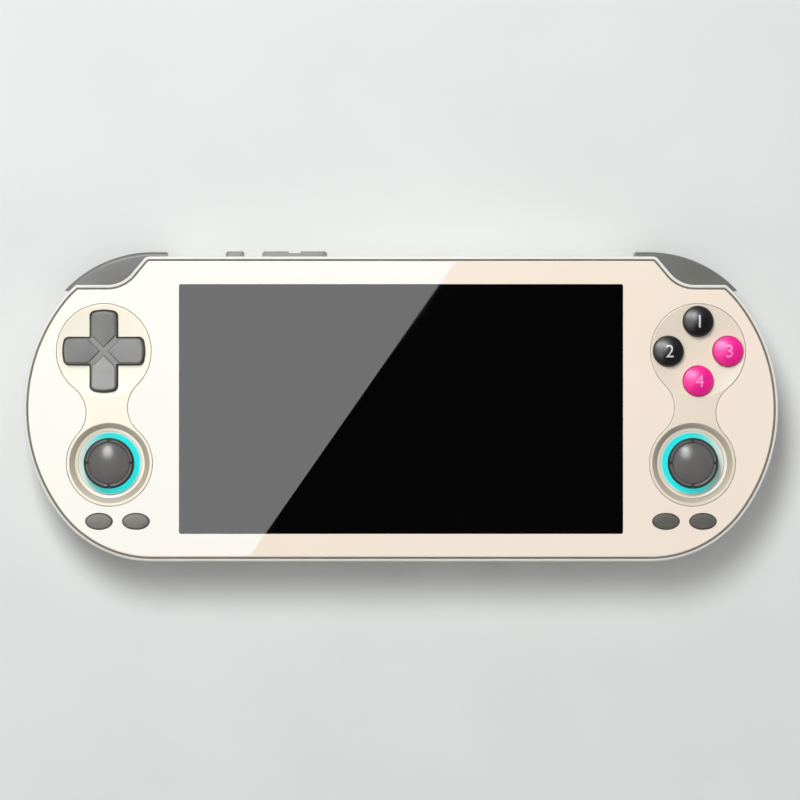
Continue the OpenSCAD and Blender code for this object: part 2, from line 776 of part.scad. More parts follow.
module pad_membrane() {
  color(grey_col) on_side(-1) translate([upper_x, upper_y, board_top]) difference() {
    union() {
      cylinder(h = membrane_t, r = upper_r - 0.6);
      for (i = [0 : 3]) rotate(90 * i) translate([pad_span / 2 - 3.1, 0, 0])
        cylinder(h = pad_foot_z - board_top - 0.8, r1 = 2.5, r2 = 1.9);
    }
    translate([0, 0, -over]) cylinder(h = membrane_t + 2 * over, r = 3);
  }
}

module pad_post() {
  color(grey_col) on_side(-1) translate([upper_x, upper_y, 0]) difference() {
    slab(board_top, pad_foot_z - 0.2) circle(2.4);
    translate([0, 0, pad_ball_z]) sphere(pad_ball_r + turn_gap);
  }
}

module pad_ball() {
  color(steel_col) on_side(-1) translate([upper_x, upper_y, pad_ball_z]) sphere(pad_ball_r);
}

module pad_bar_solid() {
  loft([
    lifted(pad_bar(0), pad_foot_z + eps),
    lifted(pad_bar(0), pad_top - pad_bevel),
    lifted(pad_bar(-0.3 * pad_bevel), pad_top - 0.3 * pad_bevel),
    lifted(pad_bar(-pad_bevel), pad_top)]);
}

// Domed socket that sits on the pivot ball
module pad_socket() {
  r = pad_ball_r + turn_gap;
  rotate_extrude() polygon(concat([[0, pad_foot_z - over], [r, pad_foot_z - over]],
    arc(0, pad_ball_z, r, 0, 80, 9), [[0, pad_ball_z + r * sin(80)]]));
}

module direction_pad() {
  color(grey_col) on_side(-1) translate([upper_x, upper_y, 0]) difference() {
    union() {
      pad_bar_solid();
      rotate(90) pad_bar_solid();
      slab(pad_foot_z, pad_flange_z) pad_cross(pad_lip + pad_gap);
    }
    for (a = [45, 135]) rotate(a) translate([0, 0, pad_top])
      cube([1.5 * pad_arm, pad_groove_w, 2 * pad_groove_d], center = true);
    pad_socket();
  }
}

module button_membrane() {
  color(grey_col) translate([upper_x, upper_y, board_top]) {
    cylinder(h = membrane_t, r = upper_r - 0.2);
    for (i = [0 : 3]) rotate(90 * i) translate([button_ring, 0, 0])
      cylinder(h = flange_top - flange_t - button_stroke - 0.05 - board_top, r1 = 2.8, r2 = 2);
  }
}

// Radius of the sphere that gives a button its dome
dome_r = (button_r * button_r + button_dome * button_dome) / (2 * button_dome);
dome_a = asin(button_r / dome_r);

module face_button(angle) {
  translate([upper_x, upper_y, 0]) rotate(angle) translate([button_ring, 0, 0])
    rotate_extrude() polygon(concat(
      [[0, flange_top - flange_t], [button_r + flange_w, flange_top - flange_t],
        [button_r + flange_w, flange_top], [button_r, flange_top]],
      arc(0, body_t + button_side + button_dome - dome_r, dome_r, 90 - dome_a, 90, 10)));
}

module top_button() {
  color(dark_col) face_button(90);
}

module left_button() {
  color(dark_col) face_button(180);
}

module right_button() {
  color([0.94, 0.1, 0.56]) face_button(0);
}

module bottom_button() {
  color([0.94, 0.1, 0.56]) face_button(270);
}

module option_membranes() {
  color(grey_col) both_sides() {
    translate([option_x, -option_y, 0]) slab(board_top, board_top + membrane_t)
      polygon(round_rect(option_pitch + 5, 5, 2.4));
    for (k = [-1, 1]) translate([option_x + k * option_pitch / 2, -option_y, board_top])
      cylinder(h = flange_top - flange_t - option_stroke - 0.05 - board_top, r1 = 2.2, r2 = 1.5);
  }
}

// Inset of an option button's top edge at a height below its crown
function option_ring(d, z) = lifted(ellipse(option_w - 2 * d, option_h - 2 * d), z);

module option_button(s, k) {
  crown = body_t + option_proud;
  translate([s * (option_x + k * option_pitch / 2), -option_y, 0]) {
    loft([
      option_ring(0, flange_top - eps),
      option_ring(0, crown - 0.4),
      option_ring(0.12, crown - 0.2),
      option_ring(0.45, crown - 0.06),
      option_ring(1, crown)]);
    slab(flange_top - flange_t, flange_top) polygon(ellipse(option_w + 1.3, option_h + 1.3));
  }
}

module option_button_1() {
  color(grey_col) option_button(-1, 1);
}

module option_button_2() {
  color(grey_col) option_button(-1, -1);
}

module option_button_3() {
  color(grey_col) option_button(1, -1);
}

module option_button_4() {
  color(grey_col) option_button(1, 1);
}

module at_stick(s, z) {
  on_side(s) translate([lower_x, -lower_y, z]) children();
}

module stick_housing(s) {
  at_stick(s, 0) difference() {
    union() {
      slab(board_top, socket_top) polygon(round_rect(socket_w, socket_w, 1, 4));
      slab(board_top, socket_top - 0.2) translate([-socket_w / 2 - 3, -4.5]) square([3.2, 9]);
      slab(board_top, socket_top - 0.2) translate([-4.5, socket_w / 2 - 0.2]) square([9, 3.2]);
    }
    slab(board_top - over, socket_top + over) circle(socket_r);
    translate([0, 0, pivot_z]) rotate([90, 0, 0])
      cylinder(h = 2 * socket_r + 1.6, r = gimbal_pin_r + turn_gap, center = true);
  }
}

module light_ring(s) {
  at_stick(s, 0) difference() {
    union() {
      slab(socket_top, deck_z) circle(lower_r - 1.5);
      slab(deck_z - eps, deck_z + 0.25) circle(well_foot_r - lay_gap);
    }
    slab(socket_top - over, deck_z + over) circle(ring_in_r);
  }
}

module gimbal(s) {
  at_stick(s, pivot_z) difference() {
    union() {
      cylinder(h = gimbal_t, r = gimbal_r, center = true);
      rotate([90, 0, 0]) cylinder(h = 2 * socket_r + 1.4, r = gimbal_pin_r, center = true);
    }
    cylinder(h = gimbal_t + 2 * over, r = gimbal_in_r, center = true);
    rotate([0, 90, 0]) cylinder(h = 3 * gimbal_r, r = lever_pin_r + turn_gap, center = true);
  }
}

module stick_lever(s) {
  at_stick(s, pivot_z) {
    translate([0, 0, -1.2]) cylinder(h = cap_z + 0.5 + 1.2, r = lever_r);
    rotate([0, 90, 0]) cylinder(h = 2 * gimbal_r - 0.2, r = lever_pin_r, center = true);
  }
}

module stick_cap(s) {
  inner_r = skirt_r - skirt_t;
  bore_r = lever_r + seat_gap;
  rim_top = cap_z + cap_rim_t;
  dome_edge = cap_r - 1;
  bulge_r = (dome_edge * dome_edge + cap_dome * cap_dome) / (2 * cap_dome);
  bulge_a = asin(dome_edge / bulge_r);
  at_stick(s, pivot_z) difference() {
    rotate_extrude() polygon(concat(
      arc(0, 0, inner_r, acos(bore_r / inner_r), asin(skirt_z / inner_r), 6),
      arc(0, 0, skirt_r, asin(skirt_z / skirt_r), acos(neck_r / skirt_r), 6),
      [[neck_r, cap_z], [cap_r - 0.4, cap_z]],
      arc(cap_r - 0.4, cap_z + 0.4, 0.4, 270, 360, 4),
      arc(cap_r - 0.5, rim_top - 0.5, 0.5, 0, 90, 4),
      [[dome_edge + 0.15, rim_top], [dome_edge, rim_top - 0.2]],
      arc(0, rim_top - 0.2 + cap_dome - bulge_r, bulge_r, 90 - bulge_a, 90, 8),
      [[0, cap_z + 0.5 + seat_gap], [bore_r, cap_z + 0.5 + seat_gap]]));
    for (i = [0 : 3]) rotate(90 * i) translate([cap_r - 0.4, 0, rim_top])
      cube([0.9, 0.5, 0.5], center = true);
  }
}

module left_stick_housing() {
  color(steel_col) stick_housing(-1);
}

module right_stick_housing() {
  color(steel_col) stick_housing(1);
}

module left_light_ring() {
  color([0.15, 0.9, 0.88]) light_ring(-1);
}

module right_light_ring() {
  color([0.15, 0.9, 0.88]) light_ring(1);
}

module left_gimbal() {
  color(dark_col) gimbal(-1);
}

module right_gimbal() {
  color(dark_col) gimbal(1);
}

module left_stick_lever() {
  color(dark_col) stick_lever(-1);
}

module right_stick_lever() {
  color(dark_col) stick_lever(1);
}

module left_stick_cap() {
  color([0.38, 0.37, 0.36]) stick_cap(-1);
}

module right_stick_cap() {
  color([0.38, 0.37, 0.36]) stick_cap(1);
}

module shoulder_boards() {
  color(board_col) both_sides() translate([corner_x + 1, hull_cut + 0.15, wall])
    cube([12.4, 0.8, bumper_top - wall - 0.4]);
}

module shoulder_switches() {
  color(dark_col) both_sides() for (z = [(trigger_z + trigger_top) / 2, (bumper_z + bumper_top) / 2])
    translate([corner_x + 10.2, hull_cut + 0.95, z]) rotate([-90, 0, 0]) {
      translate([-1.9, -1.9, 0]) cube([3.8, 3.8, 0.9]);
      cylinder(h = 1.3, r = 0.9);
    }
}

module shoulder_pin(s) {
  on_side(s) translate([pin_x, pin_y, 0]) slab(wall - 0.5, deck_z + 0.5) circle(pin_r);
}

module left_shoulder_pin() {
  color(steel_col) shoulder_pin(-1);
}

module right_shoulder_pin() {
  color(steel_col) shoulder_pin(1);
}

// One shoulder button between two heights with its own edge radii
module shoulder(s, z0, z1, r0, r1) {
  r_in = corner_r - shoulder_d;
  r_out = corner_r + shoulder_proud;
  profile = concat([[r_in, z0]],
    arc(r_out - r0, z0 + r0, r0, 270, 360, 6),
    arc(r_out - r1, z1 - r1, r1, 0, 90, 6), [[r_in, z1]]);
  on_side(s) difference() {
    union() {
      translate([corner_x, corner_y, 0]) intersection() {
        rotate_extrude() polygon(profile);
        translate([0, shoulder_y - corner_y, z0 - over])
          cube([2 * corner_r, 2 * corner_r, z1 - z0 + 2 * over]);
      }
      translate([shoulder_x, corner_y, 0]) rotate([90, 0, 90]) linear_extrude(shoulder_in)
        polygon(profile);
    }
    translate([pin_x, pin_y, 0]) slab(z0 - over, z1 + over) circle(pin_r + turn_gap);
  }
}

module left_bumper() {
  color(grey_col) shoulder(-1, bumper_z, bumper_top, 0.4, 1);
}

module right_bumper() {
  color(grey_col) shoulder(1, bumper_z, bumper_top, 0.4, 1);
}

module left_trigger() {
  color(grey_col) shoulder(-1, trigger_z, trigger_top, 3, 0.4);
}

module right_trigger() {
  color(grey_col) shoulder(1, trigger_z, trigger_top, 3, 0.4);
}

module power_key() {
  color(grey_col) translate([-power_x, 0, key_z]) {
    edge_bar(power_w - 0.6, key_t - 0.6, key_y, 0.5);
    edge_bar(power_w, key_t, key_y - 0.3, key_proud + wall + key_gap);
    translate([-power_w / 2 - 1, key_flange_y - 0.9 + key_gap - 0.1, -key_t / 2 + 0.2])
      cube([power_w + 2, 0.9, key_t - 0.4]);
  }
}

module volume_rocker() {
  color(grey_col) translate([-volume_x, 0, key_z]) difference() {
    union() {
      edge_bar(volume_w - 0.6, key_t - 0.6, key_y, 0.5);
      edge_bar(volume_w, key_t, key_y - 0.3, key_proud + wall + key_gap + 0.2);
      translate([-volume_w / 2 - 1, key_flange_y - 0.9, -key_t / 2 + 0.2])
        cube([volume_w + 2, 0.9, key_t - 0.4]);
      translate([0, rocker_pin_y, 0]) cylinder(h = key_t - 0.4, r = 1.4, center = true);
    }
    translate([-1.5, key_y - 0.45, -key_t]) cube([3, over, 2 * key_t]);
    translate([0, rocker_pin_y, 0])
      cylinder(h = 2 * key_t, r = rocker_pin_r + turn_gap, center = true);
  }
}

module screw(z_head, tip) {
  difference() {
    union() {
      slab(z_head - 1.2, z_head) circle(screw_head_r);
      slab(z_head - eps, tip) circle(screw_r);
    }
    for (a = [0, 90]) rotate(a) translate([0, 0, z_head - 1.2]) cube([2.2, 0.5, 1.2], center = true);
  }
}

module case_screws() {
  color(steel_col) at_case_screws() screw(head_seat, deck_z - 0.8);
}

module board_screws() {
  color(steel_col) at_board_screws() slab(head_seat + 0.2, deck_z - 0.8) circle(screw_r);
}

front_shell();
rear_shell();
cover_glass();
left_control_plate();
right_control_plate();
display_panel();
display_tray();
display_ribbon();
main_board();
chip_shield();
heat_spreader();
battery();
battery_tape();
left_speaker();
right_speaker();
usb_socket();
headphone_socket();
card_socket();
vibration_motor();
antenna();
edge_switches();
volume_pin();
pad_membrane();
pad_post();
pad_ball();
direction_pad();
button_membrane();
top_button();
left_button();
right_button();
bottom_button();
option_membranes();
option_button_1();
option_button_2();
option_button_3();
option_button_4();
left_stick_housing();
left_light_ring();
left_gimbal();
left_stick_lever();
left_stick_cap();
right_stick_housing();
right_light_ring();
right_gimbal();
right_stick_lever();
right_stick_cap();
shoulder_boards();
shoulder_switches();
left_shoulder_pin();
right_shoulder_pin();
left_bumper();
right_bumper();
left_trigger();
right_trigger();
power_key();
volume_rocker();
case_screws();
board_screws();
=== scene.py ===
import json
import math

import bmesh
import bpy
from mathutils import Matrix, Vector


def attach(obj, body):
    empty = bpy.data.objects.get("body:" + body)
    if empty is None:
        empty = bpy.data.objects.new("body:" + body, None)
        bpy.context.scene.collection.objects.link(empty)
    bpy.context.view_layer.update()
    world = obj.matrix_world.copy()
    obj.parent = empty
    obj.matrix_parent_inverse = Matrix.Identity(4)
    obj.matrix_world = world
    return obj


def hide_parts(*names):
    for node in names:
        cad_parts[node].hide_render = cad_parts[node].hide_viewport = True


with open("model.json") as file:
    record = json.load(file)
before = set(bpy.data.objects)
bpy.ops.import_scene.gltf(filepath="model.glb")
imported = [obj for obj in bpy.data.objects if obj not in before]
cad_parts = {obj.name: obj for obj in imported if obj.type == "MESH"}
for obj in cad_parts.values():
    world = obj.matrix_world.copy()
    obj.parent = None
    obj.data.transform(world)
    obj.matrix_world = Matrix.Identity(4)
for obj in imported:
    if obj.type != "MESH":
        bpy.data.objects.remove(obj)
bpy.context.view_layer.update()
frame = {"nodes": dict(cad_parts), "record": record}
scene = bpy.context.scene
scene.view_settings.view_transform = "Standard"
mm = 0.001  # pieces are drawn in millimetres and written in metres


# Colours, nodes and materials

def tint(code):
    def channel(text):
        v = int(text, 16) / 255
        return v / 12.92 if v <= 0.04045 else ((v + 0.055) / 1.055) ** 2.4
    return (channel(code[1:3]), channel(code[3:5]), channel(code[5:7]), 1.0)


def addNode(tree, kind, settings=None, links=None):
    node = tree.nodes.new(kind)
    for name, value in (settings or {}).items():
        if isinstance(name, str) and hasattr(node, name):
            setattr(node, name, value)
        else:
            node.inputs[name].default_value = value
    for name, socket in (links or {}).items():
        tree.links.new(socket, node.inputs[name])
    return node


def newMaterial(name, settings):
    material = bpy.data.materials.new(name)
    material.use_nodes = True
    tree = material.node_tree
    tree.nodes.clear()
    shader = addNode(tree, "ShaderNodeBsdfPrincipled", settings)
    addNode(tree, "ShaderNodeOutputMaterial", None, {"Surface": shader.outputs["BSDF"]})
    place = addNode(tree, "ShaderNodeTexCoord").outputs["Object"]
    return material, tree, shader, place


def noise(tree, place, sizeMm, detail, **more):
    # Noise with features of this size
    node = addNode(tree, "ShaderNodeTexNoise", {"Scale": 1 / (sizeMm * mm), "Detail": detail, **more},
                   {"Vector": place})
    return node.outputs["Fac"]


def setRamp(node, stops):
    ramp = node.color_ramp
    while len(ramp.elements) < len(stops):
        ramp.elements.new(0.5)
    for element, (at, colour) in zip(ramp.elements, stops):
        element.position = at
        element.color = colour


def shadeAndGloss(tree, shader, look, tone, toneSpan, marks, markSpan):
    # One noise picks the shade and one the gloss
    shades = addNode(tree, "ShaderNodeValToRGB", None, {"Fac": tone})
    setRamp(shades, [(toneSpan[0], tint(look["low"])), (toneSpan[1], tint(look["high"]))])
    gloss = addNode(tree, "ShaderNodeMapRange",
                    {"From Min": markSpan[0], "From Max": markSpan[1],
                     "To Min": look["gloss"][0], "To Max": look["gloss"][1]}, {"Value": marks})
    tree.links.new(shades.outputs["Color"], shader.inputs["Base Color"])
    tree.links.new(gloss.outputs["Result"], shader.inputs["Roughness"])


def addRelief(tree, shader, look, height):
    bump = addNode(tree, "ShaderNodeBump",
                   {"Strength": look["bump"], "Distance": look["relief"] * mm}, {"Height": height})
    tree.links.new(bump.outputs["Normal"], shader.inputs["Normal"])


def mouldedPlastic(name, look):
    # A mould's surface: slow drifts of shade, and a fine grain that breaks the gloss
    material, tree, shader, place = newMaterial(name, {"IOR": look["ior"], **look.get("coat", {})})
    drift = noise(tree, place, look["drift"], 3.0, Roughness=0.55)
    grain = noise(tree, place, look["grain"], 4.0, Roughness=0.6)
    shadeAndGloss(tree, shader, look, drift, (0.32, 0.68), grain, (0.3, 0.7))
    addRelief(tree, shader, look, grain)
    return material


# Grain sizes of 0.1 mm and less are drawn at 0.25 mm and more, the finest that shows at 4 pixels a millimetre
plasticLooks = {
    # ABS shells, spark-eroded mould: silky, with no clear reflection
    "sparkErodedShellAbs": {"low": "#DEDCD4", "high": "#E8E6DF", "drift": 30, "grain": 0.3, "ior": 1.53,
                            "gloss": (0.40, 0.52), "bump": 0.22, "relief": 0.02},
    # Cream ABS plates, polished mould with a clear coat: a blurred gloss beside the sharp one of the glass,
    # with the reflection tinted cool so that glare turns the cream to white
    "coatedCreamAbs": {"low": "#E7D7C2", "high": "#EDDECB", "drift": 22, "grain": 0.25, "ior": 1.53,
                       "gloss": (0.2, 0.27), "bump": 0.06, "relief": 0.01,
                       "coat": {"Specular IOR Level": 0.75, "Specular Tint": tint("#C8F7F3")}},
    # Walls of the stick wells: a greyer beige, darker than the plates
    "greyBeigeWellWall": {"low": "#BAAD9B", "high": "#C7BBAB", "drift": 12, "grain": 0.3, "ior": 1.5,
                       "gloss": (0.42, 0.55), "bump": 0.15, "relief": 0.015},
    # Grey ABS keys, satin mould: smooth crowns with a broad highlight
    "satinGreyAbs": {"low": "#5E5E5A", "high": "#686864", "drift": 9, "grain": 0.28, "ior": 1.53,
                     "gloss": (0.30, 0.40), "bump": 0.14, "relief": 0.015},
    # Warm grey ABS of the small oval keys, matt mould
    "mattGreyAbs": {"low": "#56544C", "high": "#605E57", "drift": 7, "grain": 0.28, "ior": 1.53,
                    "gloss": (0.42, 0.54), "bump": 0.18, "relief": 0.015},
    # Smoke grey ABS of the shoulder keys, a little glossier where fingers rub
    "rubbedGreyAbs": {"low": "#666561", "high": "#71706C", "drift": 14, "grain": 0.3, "ior": 1.53,
                      "gloss": (0.28, 0.42), "bump": 0.16, "relief": 0.018},
    # Pale grey ABS of the keys on the top edge, satin mould
    "paleGreyAbs": {"low": "#8C8C8A", "high": "#979795", "drift": 8, "grain": 0.28, "ior": 1.53,
                    "gloss": (0.34, 0.44), "bump": 0.14, "relief": 0.015},
    # Soft-touch rubber of the stick caps: dark grey with a wide milky highlight
    "softTouchRubber": {"low": "#615F5D", "high": "#6A6866", "drift": 6, "grain": 0.26, "ior": 1.51,
                        "gloss": (0.21, 0.29), "bump": 0.06, "relief": 0.015},
    # Caps' ribbed flank, ticks and groove foot: painted shade, nearly black, tinted teal as a painted
    # reflection of the ring's glow
    "paintedShadeRubber": {"low": "#242A2B", "high": "#2E3435", "drift": 5, "grain": 0.3, "ior": 1.51,
                     "gloss": (0.5, 0.65), "bump": 0.16, "relief": 0.015},
    # Glass-filled nylon inside: near black and dull
    "blackNylon": {"low": "#17171A", "high": "#222225", "drift": 8, "grain": 0.35, "ior": 1.53,
                   "gloss": (0.5, 0.65), "bump": 0.2, "relief": 0.02},
    # Dark grey ABS of inner housings
    "darkGreyAbs": {"low": "#2C2C2E", "high": "#37373A", "drift": 8, "grain": 0.3, "ior": 1.53,
                    "gloss": (0.38, 0.5), "bump": 0.16, "relief": 0.02},
    # Silicone keymats: translucent grey, slightly tacky sheen
    "silicone": {"low": "#8E9092", "high": "#9C9EA0", "drift": 8, "grain": 0.4, "ior": 1.41,
                 "gloss": (0.45, 0.6), "bump": 0.1, "relief": 0.02},
    # Solder mask over a fibreglass board: green with the weave just showing
    "solderMask": {"low": "#0E4A31", "high": "#15603F", "drift": 5, "grain": 0.5, "ior": 1.55,
                   "gloss": (0.25, 0.4), "bump": 0.2, "relief": 0.02},
    # Printed film around the cells: graphite grey, creased
    "batteryFilm": {"low": "#34363A", "high": "#43464B", "drift": 12, "grain": 1.2, "ior": 1.5,
                    "gloss": (0.2, 0.35), "bump": 0.25, "relief": 0.05},
    # Foam tape: white and fibrous
    "foamTape": {"low": "#D8D7D2", "high": "#E6E5E1", "drift": 4, "grain": 0.5, "ior": 1.45,
                 "gloss": (0.7, 0.85), "bump": 0.3, "relief": 0.04},
    # Polyimide film: amber, smooth, with a faint ripple
    "amberFilm": {"low": "#A9681C", "high": "#C07C28", "drift": 6, "grain": 1.0, "ior": 1.7,
                  "gloss": (0.15, 0.25), "bump": 0.1, "relief": 0.03},
    # Warm grey foam bead in the groove round the glass, dull and coloured as painted shade, so the groove
    # reads as a soft dark line
    "gasketPaintedShade": {"low": "#6E6A61", "high": "#7A766C", "drift": 3, "grain": 0.3, "ior": 1.45,
                   "gloss": (0.7, 0.85), "bump": 0.3, "relief": 0.03},
}
finish = {name: mouldedPlastic(name, look) for name, look in plasticLooks.items()}

metalLooks = {
    # Stamped stainless steel: fine rolling lines along X
    "rolledSteel": {"low": "#B9BBBF", "high": "#CFD1D4", "lines": 0.35, "gloss": (0.22, 0.36),
                    "stretch": 25, "bump": 0.1, "relief": 0.01},
    # Spreader sheet of aluminium, brushed
    "brushedAluminium": {"low": "#C8CACC", "high": "#DDDFE0", "lines": 0.5, "gloss": (0.28, 0.42),
                         "stretch": 25, "bump": 0.1, "relief": 0.01},
}


def rolledMetal(name, look):
    # Noise drawn out along X, which shades the metal and breaks its gloss in lines
    material, tree, shader, place = newMaterial(name, {"Metallic": 1.0})
    drawn = addNode(tree, "ShaderNodeMapping", {"Scale": (1 / look["stretch"], 1.0, 1.0)},
                    {"Vector": place})
    lines = noise(tree, drawn.outputs["Vector"], look["lines"], 4.0, Roughness=0.6)
    shadeAndGloss(tree, shader, look, lines, (0.3, 0.7), lines, (0.3, 0.7))
    addRelief(tree, shader, look, lines)
    return material


for name, look in metalLooks.items():
    finish[name] = rolledMetal(name, look)

glossLooks = {
    # Cover glass printed on its back in cream ink: clear gloss over an even warm white, and a coat
    # that leaves the reflection cool, so glare turns the cream to a plain white
    "creamPrintedGlass": {"low": "#F8E7D4", "high": "#FAEADA", "drift": 60, "smudge": 28,
                          "ior": 1.52, "gloss": (0.006, 0.02),
                          "coat": {"Specular IOR Level": 0.69, "Specular Tint": tint("#8CDAFF")}},
    # Clear window over the dark panel: black until light strikes it
    "darkPanelGlass": {"low": "#020203", "high": "#040405", "drift": 60, "smudge": 28,
                       "ior": 1.52, "gloss": (0.006, 0.02)},
    # Ground edge of the glass
    "groundGlassEdge": {"low": "#B9B2A2", "high": "#C6BFB0", "drift": 10, "smudge": 3,
                        "ior": 1.52, "gloss": (0.2, 0.35)},
    # Polished acrylic of the face buttons, coloured through
    "blackAcrylic": {"low": "#040405", "high": "#080809", "drift": 5, "smudge": 2.4,
                     "ior": 1.49, "gloss": (0.34, 0.42)},
    "pinkAcrylic": {"low": "#EE0C8A", "high": "#F61A94", "drift": 5, "smudge": 2.4,
                    "ior": 1.49, "gloss": (0.34, 0.42)},
    # Pad-printed ink of the numbers
    "paleGreyInk": {"low": "#C9CACB", "high": "#D6D7D8", "drift": 2, "smudge": 1,
                    "ior": 1.5, "gloss": (0.3, 0.42)},
    "palePinkInk": {"low": "#FF86CF", "high": "#FF95D6", "drift": 2, "smudge": 1,
                    "ior": 1.5, "gloss": (0.3, 0.42)},
}


def polishedGloss(name, look):
    # Even colour, and a film of finger marks that only changes the gloss
    material, tree, shader, place = newMaterial(name, {"IOR": look["ior"], **look.get("coat", {})})
    drift = noise(tree, place, look["drift"], 2.0)
    smudge = noise(tree, place, look["smudge"], 5.0, Roughness=0.62, Distortion=0.6)
    shadeAndGloss(tree, shader, look, drift, (0.35, 0.65), smudge, (0.4, 0.72))
    return material


for name, look in glossLooks.items():
    finish[name] = polishedGloss(name, look)

# Edge-lit acrylic rings: the lamps sit on the screen side, so the glow fades towards the ends of
# the console, and the frosted outer lip stays pale; the acrylic's own colour is painted to follow
# the glow, teal where it glows and pale where it fades, a painted glow
lower = {"x": 72.6, "y": -13.5, "r": 10.9}  # middle of a stick and the round of the plate there
ringLight = {"reach": 7.8, "lip": (7.3, 7.85), "strength": 1.0, "gloss": 0.38,
             "glow": [(0.3, "#24DCDC"), (0.62, "#1CB4B0"), (0.95, "#0A2423")],
             # body: the ring's colour, painted teal along with the glow and pale away from it
             "body": [(0.3, "#085A58"), (0.62, "#3FA19B"), (0.95, "#DDEAE2")],
             "frosted": "#E4EDE6", "unlit": "#000000", "cloud": 0.8, "bump": 0.08, "relief": 0.02}
material, tree, shader, place = newMaterial(
    "edgeLitAcrylic", {"IOR": 1.49, "Roughness": ringLight["gloss"],
                       "Emission Strength": ringLight["strength"]})
axes = addNode(tree, "ShaderNodeSeparateXYZ", None, {"Vector": place})
side = addNode(tree, "ShaderNodeMath", {"operation": "ABSOLUTE"}, {0: axes.outputs["X"]})
folded = addNode(tree, "ShaderNodeCombineXYZ", None,
                 {"X": side.outputs["Value"], "Y": axes.outputs["Y"]})  # both rings as one
centred = addNode(tree, "ShaderNodeVectorMath",
                  {"operation": "SUBTRACT", 1: (lower["x"] * mm, lower["y"] * mm, 0)},
                  {0: folded.outputs["Vector"]})
radius = addNode(tree, "ShaderNodeVectorMath", {"operation": "LENGTH"}, {0: centred.outputs["Vector"]})
along = addNode(tree, "ShaderNodeMapRange",
                {"From Min": (lower["x"] - ringLight["reach"]) * mm,
                 "From Max": (lower["x"] + ringLight["reach"]) * mm}, {"Value": side.outputs["Value"]})
lip = addNode(tree, "ShaderNodeMapRange",
              {"interpolation_type": "SMOOTHSTEP", "From Min": ringLight["lip"][0] * mm,
               "From Max": ringLight["lip"][1] * mm}, {"Value": radius.outputs["Value"]})
for shades, lipShade, target in (("body", "frosted", "Base Color"), ("glow", "unlit", "Emission Color")):
    ramp = addNode(tree, "ShaderNodeValToRGB", None, {"Fac": along.outputs["Result"]})
    setRamp(ramp, [(at, tint(code)) for at, code in ringLight[shades]])
    mixed = addNode(tree, "ShaderNodeMix", {"data_type": "RGBA", 7: tint(ringLight[lipShade])},
                    {0: lip.outputs["Result"], 6: ramp.outputs["Color"]})
    tree.links.new(mixed.outputs[2], shader.inputs[target])
addRelief(tree, shader, ringLight, noise(tree, place, ringLight["cloud"], 3.0))
finish["edgeLitAcrylic"] = material
print("materials:", len(finish))


# CAD nodes that stay get a finish, and smooth faces with crisp edges

slotFinish = {
    "shell_plastic": "sparkErodedShellAbs", "cream_plastic": "coatedCreamAbs",
    "printed_glass": "creamPrintedGlass", "display_black": "darkPanelGlass",
    "grey_plastic": "satinGreyAbs", "dark_grey_plastic": "darkGreyAbs",
    "black_gloss": "blackAcrylic", "pink_gloss": "pinkAcrylic", "lit_cyan": "edgeLitAcrylic",
    "stick_rubber": "softTouchRubber", "silicone": "silicone", "steel": "rolledSteel",
    "aluminium": "brushedAluminium", "board_green": "solderMask", "black_nylon": "blackNylon",
    "battery_wrap": "batteryFilm", "white_tape": "foamTape", "amber_film": "amberFilm",
}
nodeFinish = {name: "rubbedGreyAbs" for name in
              ("left_bumper", "right_bumper", "left_trigger", "right_trigger")}
nodeFinish.update(power_key="paleGreyAbs", volume_rocker="paleGreyAbs")

crispEdge = {"weld": 0.002, "fold": 27}  # millimetres, degrees
crisp = bpy.data.node_groups.new("crispEdges", "GeometryNodeTree")
crisp.interface.new_socket("Geometry", in_out="INPUT", socket_type="NodeSocketGeometry")
crisp.interface.new_socket("Geometry", in_out="OUTPUT", socket_type="NodeSocketGeometry")
cadMesh = addNode(crisp, "NodeGroupInput")
merged = addNode(crisp, "GeometryNodeMergeByDistance", {"Distance": crispEdge["weld"] * mm},
                 {"Geometry": cadMesh.outputs[0]})
rounded = addNode(crisp, "GeometryNodeSetShadeSmooth", {"domain": "FACE"},
                  {"Geometry": merged.outputs["Geometry"]})
fold = addNode(crisp, "GeometryNodeInputMeshEdgeAngle")
steep = addNode(crisp, "FunctionNodeCompare",
                {"data_type": "FLOAT", "operation": "GREATER_THAN", 1: math.radians(crispEdge["fold"])},
                {0: fold.outputs["Unsigned Angle"]})
edged = addNode(crisp, "GeometryNodeSetShadeSmooth", {"domain": "EDGE", "Shade Smooth": False},
                {"Geometry": rounded.outputs["Geometry"], "Selection": steep.outputs["Result"]})
addNode(crisp, "NodeGroupOutput", None, {0: edged.outputs["Geometry"]})

slotOf = {row["node"]: row["material_slot"] for row in frame["record"]["subparts"]}
for name, obj in frame["nodes"].items():
    mesh = obj.data
    if "custom_normal" in mesh.attributes:
        mesh.attributes.remove(mesh.attributes["custom_normal"])
    mesh.materials.clear()
    mesh.materials.append(finish[nodeFinish.get(name, slotFinish[slotOf[name]])])
    obj.modifiers.new("crispEdges", "NODES").node_group = crisp
print("frame dressed")


# Outlines, in millimetres seen from the front, all counter-clockwise

housing = {"halfH": 38, "endR": 44, "endX": 50, "cornerR": 29, "cornerX": 62, "cornerY": 9,
           "faceZ": 15.4, "glassZ": 14.4, "glassIn": 1.15}
notch = {"floorY": 30.9, "footX": 73.2, "footR": 8, "headX": 62.58, "headR": 2, "slope": 50}
upper = {"x": 74, "y": 14.4, "r": 12, "buttonRing": 7.42}  # middle of the pad or the face buttons
waistR = 7.6  # hollow sides between the two rounds of a plate
optionSpots = [(66.0, -28), (75.2, -28)]  # ovals on the right, mirrored on the left
quarterTurns = ((1, 0), (0, 1), (-1, 0), (0, -1))  # cosine and sine


def arc(cx, cy, r, fromDeg, toDeg, steps):
    return [(cx + r * math.cos(math.radians(fromDeg + (toDeg - fromDeg) * i / steps)),
             cy + r * math.sin(math.radians(fromDeg + (toDeg - fromDeg) * i / steps)))
            for i in range(steps + 1)]


